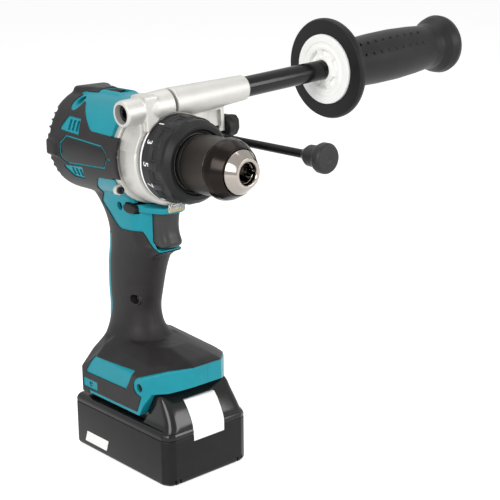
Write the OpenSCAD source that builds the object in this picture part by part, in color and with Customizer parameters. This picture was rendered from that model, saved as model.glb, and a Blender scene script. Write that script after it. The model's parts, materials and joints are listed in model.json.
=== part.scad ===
// Cordless hammer driver drill with a side handle, a depth rod and a slide-on battery.
// +X points forward along the spindle, +Y to the tool's left, +Z up, and the origin is the
// centre of the battery's bottom face. All sizes are in millimetres.

/* [Head] */
// Height of the spindle axis above the battery's bottom face
axis_z = 229; // [226:0.5:232]
// Radius of the motor head
head_r = 38.5; // [38:0.1:39]
// Rear face of the motor head
head_rear_x = -80; // [-82:0.5:-76]
// Rounding of the head's rear edge
head_fillet = 8; // [5:0.5:9]
// Height of the head's own axis above the spindle
head_lift = 1.5; // [1:0.1:1.6]
// Thickness of the housing under the soft grip skin
wall = 2.6; // [2.4:0.1:2.8]
// Thickness of the soft grip skin
skin = 1.8; // [1.5:0.1:1.9]
// Depth of the printed side plates, which lie in the skin
plate_t = 0.6; // [0.5:0.1:0.8]

/* [Handle] */
// Centre of the handle in X
grip_x = -25.5; // [-27:0.5:-25]
// Depth of the handle, front to back, at its waist
grip_depth = 41; // [40:0.5:43]
// Width of the handle at its waist
grip_w = 31.5; // [31:0.5:34]
// Width of the neck above the trigger
neck_w = 36; // [35:0.5:37]

/* [Foot] */
// Width of the foot that holds the battery
foot_w = 78; // [77:0.5:80]
// Front face of the foot
foot_front_x = 56.5; // [56:0.5:58]
// Rear face of the foot
foot_rear_x = -52; // [-54:0.5:-51]
// Bottom edge of the foot's side skirts
foot_z = 46; // [45.6:0.1:47]
// Top of the front lip
lip_z = 84; // [83:0.5:86]

/* [Battery] */
// Length of the battery
batt_l = 113; // [112:0.5:115]
// Width of the battery
batt_w = 76.4; // [74:0.1:77]
// Height of the battery's lower case
batt_case_h = 34.7; // [34.5:0.1:36]
// Height of the battery's shoulder
batt_shoulder_h = 41; // [40:0.5:41.5]
// Full height of the battery
batt_h = 62; // [61:0.5:63]
// Width of the block that slides into the foot
rail_w = 60; // [59:0.5:61]
// Radius of one cell
cell_r = 8.9; // [8.6:0.1:8.9]

/* [Gear case] */
// Radius of the nose that carries the side handle
nose_seat_r = 30; // [29:0.5:30.5]
// Module of the gear teeth
gear_module = 0.9; // [0.86:0.01:0.92]
// Radius of the spindle
spindle_r = 6; // [5.6:0.1:6.2]

/* [Rings and chuck] */
// Rear edge of the torque ring
ring_x = 24.6; // [24.4:0.1:25]
// Radius of the torque ring
ring_r = 31; // [30.5:0.1:31.4]
// Length of the torque ring
ring_l = 19.6; // [18:0.1:20]
// Front edge of the mode ring
mode_front_x = 52; // [51.5:0.1:52.5]
// Radius of the chuck sleeve
sleeve_r = 20.2; // [20:0.1:20.8]
// Radius of the bell in front of the sleeve
bell_r = 21.2; // [21:0.1:21.6]
// Front face of the chuck
nose_x = 100.5; // [100:0.5:102]
// Radius of the chuck mouth
mouth_r = 7.5; // [7.3:0.1:7.8]
// Radius of one jaw
jaw_r = 3.5; // [3.3:0.1:3.6]

/* [Side handle] */
// Turn of the side handle about the spindle
bar_turn = 3.6; // [0:0.2:8]
// Handle bar's place along the spindle
bar_x = 18.9; // [18.5:0.1:19.5]
// Handle bar's height above the spindle
bar_h = 36.4; // [36:0.1:38]
// Radius of the closed end of the clamp
boss_r = 9.2; // [9:0.1:9.8]
// Radius of the clamp's long tube
tube_r = 10.8; // [9.8:0.1:11]
// End of the long tube along the bar
tube_end = 71; // [69:1:74]
// Radius of the black pipe
pipe_r = 7.6; // [6.5:0.1:8]
// Place of the hand guard along the bar
guard_y = 156; // [152:1:160]
// Radius of the hand guard
guard_r = 38.6; // [37:0.2:40]
// End of the grip along the bar
grip_end = 298.5; // [294:0.5:302]
// Radius of the depth rod
rod_r = 3; // [2.8:0.1:3.2]
// Length of the depth rod
rod_l = 156; // [150:1:160]

/* [Controls] */
// Width of the trigger
trigger_w = 17; // [16:0.2:17.4]
// Front of the trigger
trigger_x = 23; // [22:0.5:24]
// Travel of the trigger
trigger_travel = 6.5; // [5:0.1:6.8]
// Width of the battery's release button
button_w = 25; // [24:0.5:26]

/* [Hidden] */
$fn = 72;

teal = [0.16, 0.55, 0.62];
grip_dark = [0.20, 0.20, 0.20];
case_black = [0.12, 0.12, 0.12];
cast_metal = [0.80, 0.79, 0.76];
steel = [0.62, 0.62, 0.64];
big = 400;

// Running clearance of a shaft in its bore, and the gap between pieces that slide by
fit = 0.05;
gap = 0.3;

// Shells
skin_in = skin;
cavity_in = skin + wall;
head_front_x = -1;
side_band_x = 4;
foot_half = foot_w / 2;
bumper_out = 3.4;
lip_side_z = lip_z - 7;
foot_top_z = lip_z + 13;
neck_top_z = axis_z - 26;
neck_roof_z = axis_z - 35.2;
lamp_roof_z = axis_z - ring_r - 1.4;
slot_top_z = batt_h + 0.6;
slot_half = rail_w / 2 + 0.6;

// Gear train
sun_teeth = 12;
planet_teeth = 18;
ring_teeth = sun_teeth + 2 * planet_teeth;
orbit_r = gear_module * (sun_teeth + planet_teeth) / 2;
planet_hole_r = 2.4;
gear_wall_r = gear_module * ring_teeth / 2 + 3.9;
stage_1_x = -26;
stage_2_x = -13;
gear_w = 7;
case_rear_x = -33;
case_nose_x = 24;
flange_r = head_r - 2.5;
ear_r = flange_r + 2.6;
ear_seat = 2.3;
ear_angles = [35, 125, 215, 325];

// Motor
stator_r = 27.5;
stator_x0 = -64;
stator_x1 = -42;
rotor_r = 14.5;
air_gap = 0.5;
shaft_r = 2.5;
bearing_r = 9;
bearing_w = 5;
rear_bearing_x = head_rear_x + cavity_in + 0.3;

// Trigger and neck
trigger_top_z = axis_z - 40;
trigger_low_z = axis_z - 70;
trigger_root_x = 2;
neck_front_x = 27;
lever_x = -4;
lever_z = axis_z - 38.5;
lever_l = 14;
lever_h = 7.4;

// Screw places as [x, z] on the side of the tool
screw_places = [[-56, axis_z + 32.4], [-17.5, axis_z - 39], [-10, 120], [26, 68]];
screw_seat = [13, 13, 7, foot_half - 5];
boss_half = [30, 30, 30, foot_half - 2];
screw_r = 1.5;
screw_head_r = 2.9;

// Clamp
clamp_x0 = 4.6;
clamp_x1 = 24.2;
clamp_out_r = nose_seat_r + 4.3;
split_y0 = 0.4;
split_y1 = 2.8;
web_x0 = 8.6;
web_x1 = 20.4;
rod_y = head_r + rod_r + 3.3;
rod_h = 5;
rod_rear_x = -30;
knob_rise = 5.6;

// Battery
batt_front_x = batt_l / 2;
wedge_x = 37;
button_half = button_w / 2;
cell_l = 65;
batt_floor = 2.4;
batt_wall = 4.2;
batt_screw_x = batt_front_x - 6.8;
batt_screw_y = batt_w / 2 - 12.5;

// ---------------------------------------------------------------- helpers

// Solid of revolution about the spindle from [x, r] points
module xturn(points) {
    translate([0, 0, axis_z])
        rotate([0, 90, 0])
            rotate_extrude($fn = 96)
                polygon([for (p = points) [p[1], p[0]]]);
}

// Cylinder along X about the spindle
module xcyl(r, x0, x1) {
    translate([x0, 0, axis_z])
        rotate([0, 90, 0])
            cylinder(r = r, h = x1 - x0);
}

// Ring along X about the spindle
module xring(r_in, r_out, x0, x1) {
    xturn([[x0, r_in], [x0, r_out], [x1, r_out], [x1, r_in]]);
}

// Cylinder along Y at [x, z] from y0 to y1
module ycyl(x, z, r, y0, y1) {
    translate([x, y1, z])
        rotate([90, 0, 0])
            cylinder(r = r, h = y1 - y0);
}

// Plate with an outline in [x, z], between y0 and y1
module side_prism(outline, y0, y1) {
    translate([0, y1, 0])
        rotate([90, 0, 0])
            linear_extrude(height = y1 - y0)
                polygon(outline);
}

// Box from its low corner to its high corner
module span(low, high) {
    translate(low)
        cube(high - low);
}

// Keeps one side of the tool: side is -1 for the right, +1 for the left
module half(side) {
    intersection() {
        children();
        translate([-big, side > 0 ? 0 : -big, -big])
            cube([2 * big, big, 2 * big]);
    }
}

// Rectangle with round corners, centred
module round_rect(w, h, r) {
    union() {
        square([w, h - 2 * r], center = true);
        square([w - 2 * r, h], center = true);
        for (sx = [-1, 1])
            for (sy = [-1, 1])
                translate([sx * (w / 2 - r), sy * (h / 2 - r)])
                    circle(r = r, $fn = 32);
    }
}

// ---------------------------------------------------------------- outer form

// Motor head, drawn in by o
module head_form(o) {
    cx = head_rear_x + head_fillet;
    cr = head_r - head_fillet;
    f = max(head_fillet - o, 0.5);
    translate([0, 0, head_lift]) {
        xturn(concat([[head_rear_x + o, 0]],
            [for (a = [180:-15:90]) [cx + f * cos(a), cr + f * sin(a)]],
            [[side_band_x, head_r - o], [side_band_x, 0]]));
        bumpers(o);
    }
}

// Bumpers on the two sides of the head's rear, drawn in by o
module bumpers(o) {
    y = head_r + bumper_out - o;
    for (s = [-1, 1])
        scale([1, s, 1])
            hull() {
                span([head_rear_x + 5 + o, head_r - 8, axis_z - 10], [head_rear_x + 21, head_r - 7, axis_z + 7]);
                span([head_rear_x + 6 + o, y - 1, axis_z - 7], [head_rear_x + 18 - o, y, axis_z + 4]);
            }
}

// Stations of the handle: height, rear x, front x and half width
function stations() = [
    [foot_top_z - 24, grip_x - grip_depth / 2 - 4, grip_x + grip_depth / 2 + 34, grip_w / 2 + 17],
    [foot_top_z - 15, grip_x - grip_depth / 2 - 3, grip_x + grip_depth / 2 + 19, grip_w / 2 + 12],
    [foot_top_z - 8, grip_x - grip_depth / 2 - 2.4, grip_x + grip_depth / 2 + 9, grip_w / 2 + 6.5],
    [foot_top_z - 2, grip_x - grip_depth / 2 - 1.8, grip_x + grip_depth / 2 + 4, grip_w / 2 + 2.6],
    [foot_top_z + 4, grip_x - grip_depth / 2 - 1.4, grip_x + grip_depth / 2 + 1.6, grip_w / 2 + 0.8],
    [foot_top_z + 14, grip_x - grip_depth / 2 - 1, grip_x + grip_depth / 2 + 0.4, grip_w / 2],
    [foot_top_z + 27, grip_x - grip_depth / 2 - 2, grip_x + grip_depth / 2 + 3.4, grip_w / 2 + 0.3],
    [axis_z - 86, grip_x - grip_depth / 2 - 1.6, grip_x + grip_depth / 2 + 9, grip_w / 2 + 0.8],
    [axis_z - 72, grip_x - grip_depth / 2 + 0.6, grip_x + grip_depth / 2 + 16, neck_w / 2 - 1],
    [axis_z - 60, grip_x - grip_depth / 2 + 0.2, grip_x + grip_depth / 2 + 25, neck_w / 2 - 0.4],
    [axis_z - 49, grip_x - grip_depth / 2 - 4.6, grip_x + grip_depth / 2 + 30, neck_w / 2 + 0.2],
    [axis_z - 39, grip_x - grip_depth / 2 - 13.5, neck_front_x, neck_w / 2 + 0.6],
    [axis_z - 32, grip_x - grip_depth / 2 - 22, neck_front_x + 0.5, neck_w / 2 + 1.5],
    [axis_z - 22, grip_x - grip_depth / 2 - 29, neck_front_x + 0.5, neck_w / 2 + 4]];

function oval(t, a, b, n) = [a * sign(cos(t)) * pow(abs(cos(t)), 2 / n),
    b * sign(sin(t)) * pow(abs(sin(t)), 2 / n)];

// Handle, lofted through its stations and drawn in by o
module handle_form(o) {
    sides = 28;
    rows = stations();
    count = len(rows);
    points = [for (s = rows) for (k = [0:sides - 1])
        let (a = (s[2] - s[1]) / 2 - o, b = s[3] - o, p = oval(k * 360 / sides, a, b, 2.35))
        [(s[1] + s[2]) / 2 + p[0], p[1], s[0]]];
    walls = [for (i = [0:count - 2]) for (k = [0:sides - 1])
        let (n = (k + 1) % sides)
        each [[i * sides + k, (i + 1) * sides + k, (i + 1) * sides + n],
            [i * sides + k, (i + 1) * sides + n, i * sides + n]]];
    floor_face = [for (k = [0:sides - 1]) k];
    roof_face = [for (k = [sides - 1:-1:0]) (count - 1) * sides + k];
    polyhedron(points, concat(walls, [floor_face, roof_face]));
}

// One level of the foot: bottom edge, side edge, shoulder and crown, from the rear round the
// right side to the front. The left side mirrors it.
function foot_level(k, o) =
    let (w = foot_half - o, f = foot_front_x - o, r = foot_rear_x + o)
    k == 0 ? [[r, 0, foot_z], [r, -w + 9, foot_z], [r + 8, -w, foot_z], [-24, -w, foot_z],
        [f - 27, -w, foot_z], [f - 13, -w + 12, foot_z], [f, -14, foot_z], [f, 0, foot_z]] :
    k == 1 ? [[r, 0, lip_z - 7 - o], [r, -w + 9, lip_z - 20 - o], [r + 8, -w, lip_z - 18 - o],
        [-24, -w, lip_z - 5 - o], [f - 27, -w, lip_z - 6 - o], [f - 13, -w + 12, lip_z - 1 - o],
        [f, -13, lip_z + 1.2 - o], [f, 0, lip_z + 1.8 - o]] :
    k == 2 ? [[r + 2, 0, lip_z + 1 - o], [r + 3, -w + 20, lip_z - 6.4 - o], [r + 11, -w + 9, lip_z - 5.4 - o],
        [-24, -w + 8, lip_z + 2.4 - o], [f - 28, -w + 8, lip_z - 1 - o], [f - 16, -w + 16, lip_z + 2 - o],
        [f - 7, -11, lip_z + 3.6 - o], [f - 7, 0, lip_z + 4 - o]] :
    [[r + 5, 0, lip_z + 8 - o], [r + 6, -w + 27, lip_z + 4.4 - o], [r + 14, -w + 19, lip_z + 4.6 - o],
        [-24, -w + 19, lip_z + 7 - o], [10, -w + 21, lip_z + 5.6 - o], [20, -w + 25, lip_z + 5.8 - o],
        [24, -8, lip_z + 6.6 - o], [24, 0, lip_z + 6.8 - o]];

// Foot above the battery, drawn in by o
module foot_form(o) {
    rings = [for (k = [0:3]) let (h = foot_level(k, o))
        concat(h, [for (i = [6:-1:1]) [h[i][0], -h[i][1], h[i][2]]])];
    n = len(rings[0]);
    points = [for (g = rings) for (p = g) p];
    walls = [for (i = [0:2]) for (k = [0:n - 1])
        let (m = (k + 1) % n)
        each [[i * n + k, (i + 1) * n + k, (i + 1) * n + m], [i * n + k, (i + 1) * n + m, i * n + m]]];
    top = 3 * n;
    crown = [for (k = [1:n - 2]) [top, top + k + 1, top + k]];
    polyhedron(points, concat(walls, [[for (k = [0:n - 1]) k]], crown));
}

// The whole outside of the housing, drawn in by o
module body_form(o) {
    union() {
        head_form(o);
        difference() {
            handle_form(o);
            span([side_band_x, -big, neck_roof_z - o], [ring_x, big, big]);
            span([side_band_x, -big, lamp_roof_z - o], [big, big, big]);
        }
        foot_form(o);
    }
}

// Inside of the housing: it stays above the battery's slot
module cavity() {
    union() {
        translate([0, 0, head_lift])
            xcyl(head_r - cavity_in, head_rear_x + cavity_in, big / 4);
        difference() {
            handle_form(cavity_in);
            span([neck_front_x - 6, -big, -big], [big, big, big]);
            span([side_band_x - 1, -big, neck_roof_z - cavity_in], [big, big, big]);
            span([trigger_root_x - 3, -big, trigger_low_z - 2], [big, big, trigger_top_z + 2]);
            span([-big, -big, -big], [big, big, slot_top_z + wall]);
        }
        difference() {
            foot_form(cavity_in);
            span([-big, -big, -1], [big, big, slot_top_z + wall]);
            span([21, -big, -1], [big, big, lip_z - 12.5 + wall]);
        }
    }
}

// Side-view outline of the soft grip, as [x, z]
grip_outline = [
    [-66, axis_z + 45], [-64, axis_z + 36], [-61, axis_z + 27], [-50, axis_z + 25],
    [-45, axis_z + 27], [-36, axis_z + 23.5], [-27, axis_z + 15.5], [side_band_x + 2, axis_z + 14.2],
    [side_band_x + 2, axis_z - 15], [-21, axis_z - 17], [-38, axis_z - 18], [-38, axis_z - 32],
    [-34, axis_z - 34], [-29, axis_z - 39], [-18.5, axis_z - 62.5], [5, axis_z - 61.5],
    [9, axis_z - 68], [16, axis_z - 74], [40, axis_z - 78], [80, lip_z + 16], [80, lip_z + 0.5],
    [foot_front_x, lip_z - 0.4], [40, lip_z - 2], [24, lip_z - 8], [19, lip_z - 13],
    [20.5, foot_z + 19], [29, foot_z + 16], [23, foot_z + 3.2], [-36, foot_z + 3.2],
    [-36, foot_z - 1], [-95, foot_z - 1], [-95, axis_z + 45]];

// Teal panel on the side of the foot
panel_outline = [[-39.6, foot_z + 16.5], [-27, foot_z + 32.3], [20, foot_z + 33], [11, foot_z + 17]];

// Where the soft grip lies
module grip_zone() {
    difference() {
        side_prism(grip_outline, -big / 2, big / 2);
        side_prism(panel_outline, -big / 2, big / 2);
        span([-43, -big, foot_z + 4.4], [-25, big, foot_z + 11.6]);
        span([-big, -2.2, foot_z + 28], [grip_x - 8, 2.2, axis_z - 72]);
    }
}

// Outline of the side plates, as [x, z]
plate_outline = [[-59, axis_z - 4], [-55.8, axis_z + 8], [-12, axis_z + 6.4], [-6.3, axis_z + 3.6],
    [-7, axis_z - 4.7], [-11, axis_z - 7], [-54.5, axis_z - 7.8]];

// Three slots of one side vent; up is +1 above the axis and -1 below it
module vent_slots(side, up) {
    for (k = [0:2]) {
        x0 = -57.5 + 6.6 * k;
        side_prism([[x0, axis_z + up * 12.4], [x0 + 4.4, axis_z + up * 12.4],
            [x0 + 4.4, axis_z + up * 21], [x0 + (k == 0 ? 2.4 : 0), axis_z + up * 21]],
            side > 0 ? 20 : -big / 4, side > 0 ? big / 4 : -20);
    }
}

// Slots round the rear rim on one side
module rim_slots(side) {
    for (a = [-39, -30, -22, -13, 13, 22, 30, 39])
        translate([head_rear_x + 1, 0, axis_z + head_lift])
            rotate([side * a, 0, 0])
                translate([0, side > 0 ? head_r - 8.5 : -head_r - 5, -1.7])
                    cube([5.4, 13.5, 3.4]);
}

// Everything that is cut from the shells and their skin on one side
module shell_cuts(side) {
    vent_slots(side, 1);
    vent_slots(side, -1);
    rim_slots(side);
    // Gear case flange seat, open between the two side bands
    difference() {
        xcyl(head_r + 12, head_front_x, side_band_x + 1);
        span([-big, -big, axis_z - 14], [big, big, axis_z + 14]);
        span([-big, -neck_w / 2 - 6, -big], [big, neck_w / 2 + 6, neck_roof_z]);
    }
    xcyl(flange_r + gap, head_front_x, big / 4);
    // Battery slot with its two rails left standing
    difference() {
        span([foot_rear_x + cavity_in, -slot_half, -1], [big, slot_half, slot_top_z]);
        for (s = [-1, 1])
            span([foot_rear_x, s > 0 ? slot_half - 3 : -slot_half - 1, foot_z + 4],
                [batt_front_x - 30, s > 0 ? slot_half + 1 : -slot_half + 3, foot_z + 7]);
    }
    // Room in front for the battery's wedge
    side_prism([[24.5, -1], [24.5, foot_z + 0.2], [33.5, slot_top_z], [34.2, batt_h + 2.1],
        [43.5, lip_z - 18.6], [50, lip_z - 16], [foot_front_x + 0.2, lip_z - 13], [big, lip_z - 13],
        [big, -1]], -big, big);
    // Trigger opening and the step in front of it
    span([trigger_root_x - 4, -trigger_w / 2 - gap, trigger_low_z - gap],
        [big, trigger_w / 2 + gap, trigger_top_z + gap]);
    span([9, -big, trigger_low_z + 2], [big, big, trigger_top_z]);
    // Reversing lever slot
    translate([lever_x, big / 2, lever_z])
        rotate([90, 0, 0])
            linear_extrude(height = big)
                round_rect(lever_l + 2 * gap, lever_h + 2 * gap, 3.6);
    // Lamp pocket
    span([ring_x + 0.2, -7.5, trigger_top_z + 1.6], [big, 7.5, lamp_roof_z - 0.8]);
    span([neck_front_x - 9, -5.4, trigger_top_z + 1.6], [big, 5.4, neck_roof_z - 0.8]);
    // Speed lever slot in the roof
    span([-49, -6.3, axis_z + head_r - cavity_in - 3], [-27.6, 6.3, axis_z + head_r + 5]);
    // Belt hook screw holes and nut pockets
    for (s = [-1, 1]) {
        ycyl(-33.5, foot_z + 8, 2.2, s > 0 ? 0 : -big / 4, s > 0 ? big / 4 : 0);
        ycyl(-33.5, foot_z + 8, 3.5, s > 0 ? 20 : -foot_half + 2.4, s > 0 ? foot_half - 2.4 : -20);
    }
}

// Screw bosses inside the shells
module screw_bosses() {
    for (k = [0:3])
        ycyl(screw_places[k][0], screw_places[k][1], 4.3, -boss_half[k], boss_half[k]);
}

// Holes for the case screws
module screw_holes() {
    for (k = [0:3]) {
        ycyl(screw_places[k][0], screw_places[k][1], screw_r, -screw_seat[k] - 1, 7);
        ycyl(screw_places[k][0], screw_places[k][1], screw_head_r + gap, -big / 4, -screw_seat[k]);
    }
}

// Ribs and seats inside the shells that carry the motor and the electronics
module inner_ribs() {
    intersection() {
        translate([0, 0, head_lift])
            xcyl(head_r - skin - 0.4, head_rear_x + cavity_in - 1, head_front_x - 2);
        union() {
            for (x = [stator_x0 + 5, stator_x1 - 7])
                xring(stator_r, head_r, x, x + 2);
            xring(bearing_r, bearing_r + 3, head_rear_x + cavity_in - 1, rear_bearing_x + bearing_w);
        }
    }
}

module housing_half(side) {
    color(teal)
        difference() {
            union() {
                half(side)
                    difference() {
                        body_form(0);
                        difference() {
                            grip_zone();
                            body_form(skin_in);
                        }
                        cavity();
                        shell_cuts(side);
                    }
                half(side)
                    difference() {
                        union() {
                            intersection() {
                                screw_bosses();
                                body_form(skin_in + 0.2);
                            }
                            inner_ribs();
                        }
                        shell_cuts(side);
                    }
            }
            screw_holes();
        }
}

module grip_half(side) {
    color(grip_dark)
        half(side)
            difference() {
                intersection() {
                    body_form(0);
                    grip_zone();
                }
                body_form(skin_in);
                shell_cuts(side);
                screw_holes();
                difference() {
                    side_prism(plate_outline, -big / 4, big / 4);
                    translate([0, 0, head_lift])
                        xcyl(head_r - plate_t, head_rear_x, side_band_x);
                }
            }
}

// ---------------------------------------------------------------- housing nodes

module housing_right() { housing_half(-1); }
module housing_left() { housing_half(1); }
module grip_right() { grip_half(-1); }
module grip_left() { grip_half(1); }

module side_plates() {
    color(case_black)
        intersection() {
            translate([0, 0, head_lift])
                xring(head_r - plate_t, head_r - 0.1, -61, side_band_x);
            union() {
                side_prism(plate_outline, -big / 4, -20);
                side_prism(plate_outline, 20, big / 4);
            }
        }
}

module housing_screws() {
    color(steel)
        for (k = [0:3])
            translate([screw_places[k][0], 0, screw_places[k][1]])
                rotate([90, 0, 0])
                    difference() {
                        union() {
                            translate([0, 0, -7])
                                cylinder(r = screw_r, h = screw_seat[k] + 7.5);
                            translate([0, 0, screw_seat[k]])
                                cylinder(r = screw_head_r, h = 2.4);
                        }
                        translate([0, 0, screw_seat[k] + 1])
                            cylinder(r = 1.4, h = 3, $fn = 6);
                    }
}

module gear_case() {
    color(cast_metal)
        difference() {
            union() {
                // Flange, waist and nose that carries the side handle
                xcyl(flange_r, head_front_x, clamp_x0 - gap);
                xcyl(nose_seat_r, head_front_x, case_nose_x);
                xcyl(20, case_nose_x - 1, mode_front_x - 3);
                xcyl(gear_wall_r + 3.2, case_rear_x, head_front_x + 1);
                // Ears for the four screws
                for (a = ear_angles)
                    translate([head_front_x, 0, axis_z])
                        rotate([a, 0, 0])
                            translate([0, ear_r, 0])
                                rotate([0, 90, 0])
                                    cylinder(r = 3.2, h = clamp_x0 - gap - ear_seat - head_front_x);
            }
            xcyl(gear_wall_r, stage_1_x - 2, case_nose_x - 5);
            xcyl(bearing_r, case_rear_x - 1, case_rear_x + bearing_w);
            xcyl(7.5, case_rear_x, stage_1_x);
            xcyl(12, case_nose_x - 6, mode_front_x);
            for (a = ear_angles)
                translate([head_front_x - 1, 0, axis_z])
                    rotate([a, 0, 0])
                        translate([0, ear_r, 0])
                            rotate([0, 90, 0])
                                cylinder(r = 1.4, h = 10);
        }
}

module gear_case_screws() {
    color(case_black)
        for (a = ear_angles)
            translate([clamp_x0 - gap - ear_seat, 0, axis_z])
                rotate([a, 0, 0])
                    translate([0, ear_r, 0])
                        rotate([0, 90, 0])
                            difference() {
                                union() {
                                    translate([0, 0, -3])
                                        cylinder(r = 1.4, h = 3);
                                    cylinder(r = 2.3, h = 2.2);
                                }
                                translate([0, 0, 1])
                                    cylinder(r = 1.2, h = 2, $fn = 6);
                            }
}

module led_lens() {
    color([0.93, 0.95, 0.96])
        side_prism([[ring_x + 0.4, trigger_top_z + 1.7], [neck_front_x - 0.4, trigger_top_z + 1.7],
            [neck_front_x + 0.8, trigger_top_z + 4.4], [neck_front_x + 0.8, lamp_roof_z - 0.9],
            [ring_x + 0.4, lamp_roof_z - 0.9]], -7.2, 7.2);
}

module led_board() {
    color([0.85, 0.75, 0.2])
        union() {
            span([ring_x - 1, -5.2, trigger_top_z + 1.7], [ring_x + 0.4, 5.2, neck_roof_z - 0.9]);
            span([neck_front_x - 9, -1.6, trigger_top_z + 1.7], [ring_x - 1, 1.6, trigger_top_z + 3.3]);
        }
}

module stator() {
    color([0.45, 0.46, 0.48])
        difference() {
            xcyl(stator_r, stator_x0, stator_x1);
            xcyl(rotor_r + air_gap, stator_x0 - 1, stator_x1 + 1);
            for (a = [0:60:300])
                translate([stator_x0 - 1, 0, axis_z])
                    rotate([a + 30, 0, 0])
                        translate([0, -3, rotor_r + 3])
                            cube([stator_x1 - stator_x0 + 2, 6, 7]);
        }
}

module stator_coils() {
    color([0.72, 0.40, 0.18])
        for (a = [0:60:300])
            translate([0, 0, axis_z])
                rotate([a, 0, 0])
                    for (x = [stator_x0 - 2.6, stator_x1])
                        translate([x, -4.5, rotor_r + 3.4])
                            cube([2.6, 9, 6.6]);
}

module motor_bearings() {
    color(steel) {
        xring(shaft_r, bearing_r, rear_bearing_x, rear_bearing_x + bearing_w);
        xring(shaft_r, bearing_r, case_rear_x, case_rear_x + bearing_w);
    }
}

// Outline of an outside gear with a tooth centred at angle 0
function gear_points(teeth, m) = [for (k = [0:teeth - 1])
    let (p = 360 / teeth, r = m * teeth / 2)
    each [for (q = [[-0.30, -0.95], [-0.225, 0], [-0.12, 0.72], [0.12, 0.72], [0.225, 0], [0.30, -0.95]])
        [(r + q[1] * m) * cos((k + q[0]) * p), (r + q[1] * m) * sin((k + q[0]) * p)]]];

// Outline of an inside gear with a tooth centred at angle 0
function ring_points(teeth, m) = [for (k = [0:teeth - 1])
    let (p = 360 / teeth, r = m * teeth / 2)
    each [for (q = [[-0.30, 0.95], [-0.225, 0], [-0.12, -0.72], [0.12, -0.72], [0.225, 0], [0.30, 0.95]])
        [(r + q[1] * m) * cos((k + q[0]) * p), (r + q[1] * m) * sin((k + q[0]) * p)]]];

// Gear along X about the spindle, with angle 0 pointing up
module x_gear(points, x0, w) {
    translate([x0, 0, axis_z])
        rotate([0, 90, 0])
            rotate([0, 0, 180])
                linear_extrude(height = w)
                    polygon(points);
}

module ring_gear() {
    color(steel)
        difference() {
            xcyl(gear_wall_r, stage_1_x - 1, stage_2_x + gear_w + 1);
            x_gear(ring_points(ring_teeth, gear_module), stage_1_x - 2, stage_2_x - stage_1_x + gear_w + 4);
        }
}

// One planet of a stage, index 0 to 2
module planet(stage_x, index) {
    color(steel)
        translate([0, 0, axis_z])
            rotate([120 * index, 0, 0])
                translate([0, 0, orbit_r - axis_z])
                    difference() {
                        translate([0, 0, axis_z])
                            rotate([180 / planet_teeth, 0, 0])
                                translate([0, 0, -axis_z])
                                    x_gear(gear_points(planet_teeth, gear_module), stage_x, gear_w);
                        translate([0, 0, 0])
                            xcyl(planet_hole_r, stage_x - 1, stage_x + gear_w + 1);
                    }
}

// Plate with three pins, from x0 to x1, whose pins reach back to pin_x
module carrier_plate(x0, x1, pin_x) {
    union() {
        xcyl(orbit_r + 5, x0, x1);
        for (a = [0, 120, 240])
            translate([pin_x, 0, axis_z])
                rotate([a, 0, 0])
                    translate([0, 0, orbit_r])
                        rotate([0, 90, 0])
                            cylinder(r = planet_hole_r - fit, h = x1 - pin_x);
    }
}

module carrier_1() {
    color(steel)
        union() {
            carrier_plate(stage_1_x + gear_w + gap, stage_1_x + gear_w + 3, stage_1_x);
            x_gear(gear_points(sun_teeth, gear_module), stage_1_x + gear_w + 2, 10.6);
        }
}

module planet_1a() { planet(stage_1_x, 0); }
module planet_1b() { planet(stage_1_x, 1); }
module planet_1c() { planet(stage_1_x, 2); }
module planet_2a() { planet(stage_2_x, 0); }
module planet_2b() { planet(stage_2_x, 1); }
module planet_2c() { planet(stage_2_x, 2); }

module spindle_bearing() {
    color(steel) {
        xring(spindle_r + fit, 12, case_nose_x - 5.5, case_nose_x + 2.5);
        xring(spindle_r + fit, 12, mode_front_x - 12, mode_front_x - 4);
    }
}

module rotor() {
    color([0.35, 0.36, 0.38])
        xring(shaft_r, rotor_r, stator_x0 + 1, stator_x1 - 1);
}

module motor_shaft() {
    color(steel)
        union() {
            xcyl(shaft_r - fit, rear_bearing_x, stage_1_x + gear_w - 0.4);
            x_gear(gear_points(sun_teeth, gear_module), stage_1_x, gear_w - 0.4);
        }
}

module fan() {
    color(case_black)
        union() {
            xring(shaft_r - fit, 8, -38.5, -34);
            xring(8, 24, -35.4, -34);
            for (a = [0:30:330])
                translate([-38.5, 0, axis_z])
                    rotate([a, 0, 0])
                        translate([0, -0.6, 7.5])
                            cube([3.6, 1.2, 16]);
        }
}

module switch_unit() {
    color(case_black)
        difference() {
            span([-29, -9, axis_z - 68], [-5.4, 9, axis_z - 44]);
            translate([-20, 0, axis_z - 53])
                rotate([0, 90, 0])
                    cylinder(r = 3 + fit, h = 30);
        }
}

module controller_board() {
    color([0.10, 0.35, 0.18])
        union() {
            span([-36, -24, slot_top_z + wall], [20, 24, slot_top_z + wall + 2]);
            for (k = [0:2])
                span([-26 + 14 * k, -15, slot_top_z + wall + 2], [-18 + 14 * k, -7, slot_top_z + wall + 6]);
        }
}

module terminal_block() {
    color(case_black)
        union() {
            span([foot_rear_x + cavity_in, -22, foot_z + 8], [foot_rear_x + cavity_in + 3, 22, slot_top_z]);
            for (y = [-16, -5, 5, 16])
                span([foot_rear_x + cavity_in + 3, y - 0.5, foot_z + 9],
                    [foot_rear_x + cavity_in + 14, y + 0.5, slot_top_z - 2.4]);
        }
}

module hook_nuts() {
    color([0.75, 0.62, 0.30])
        for (s = [-1, 1])
            difference() {
                ycyl(-33.5, foot_z + 8, 3.5, s > 0 ? slot_half + 0.4 : -foot_half + 2.4,
                    s > 0 ? foot_half - 2.4 : -slot_half - 0.4);
                ycyl(-33.5, foot_z + 8, 1.65, -big / 4, big / 4);
            }
}

// ---------------------------------------------------------------- spindle and chuck

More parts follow.
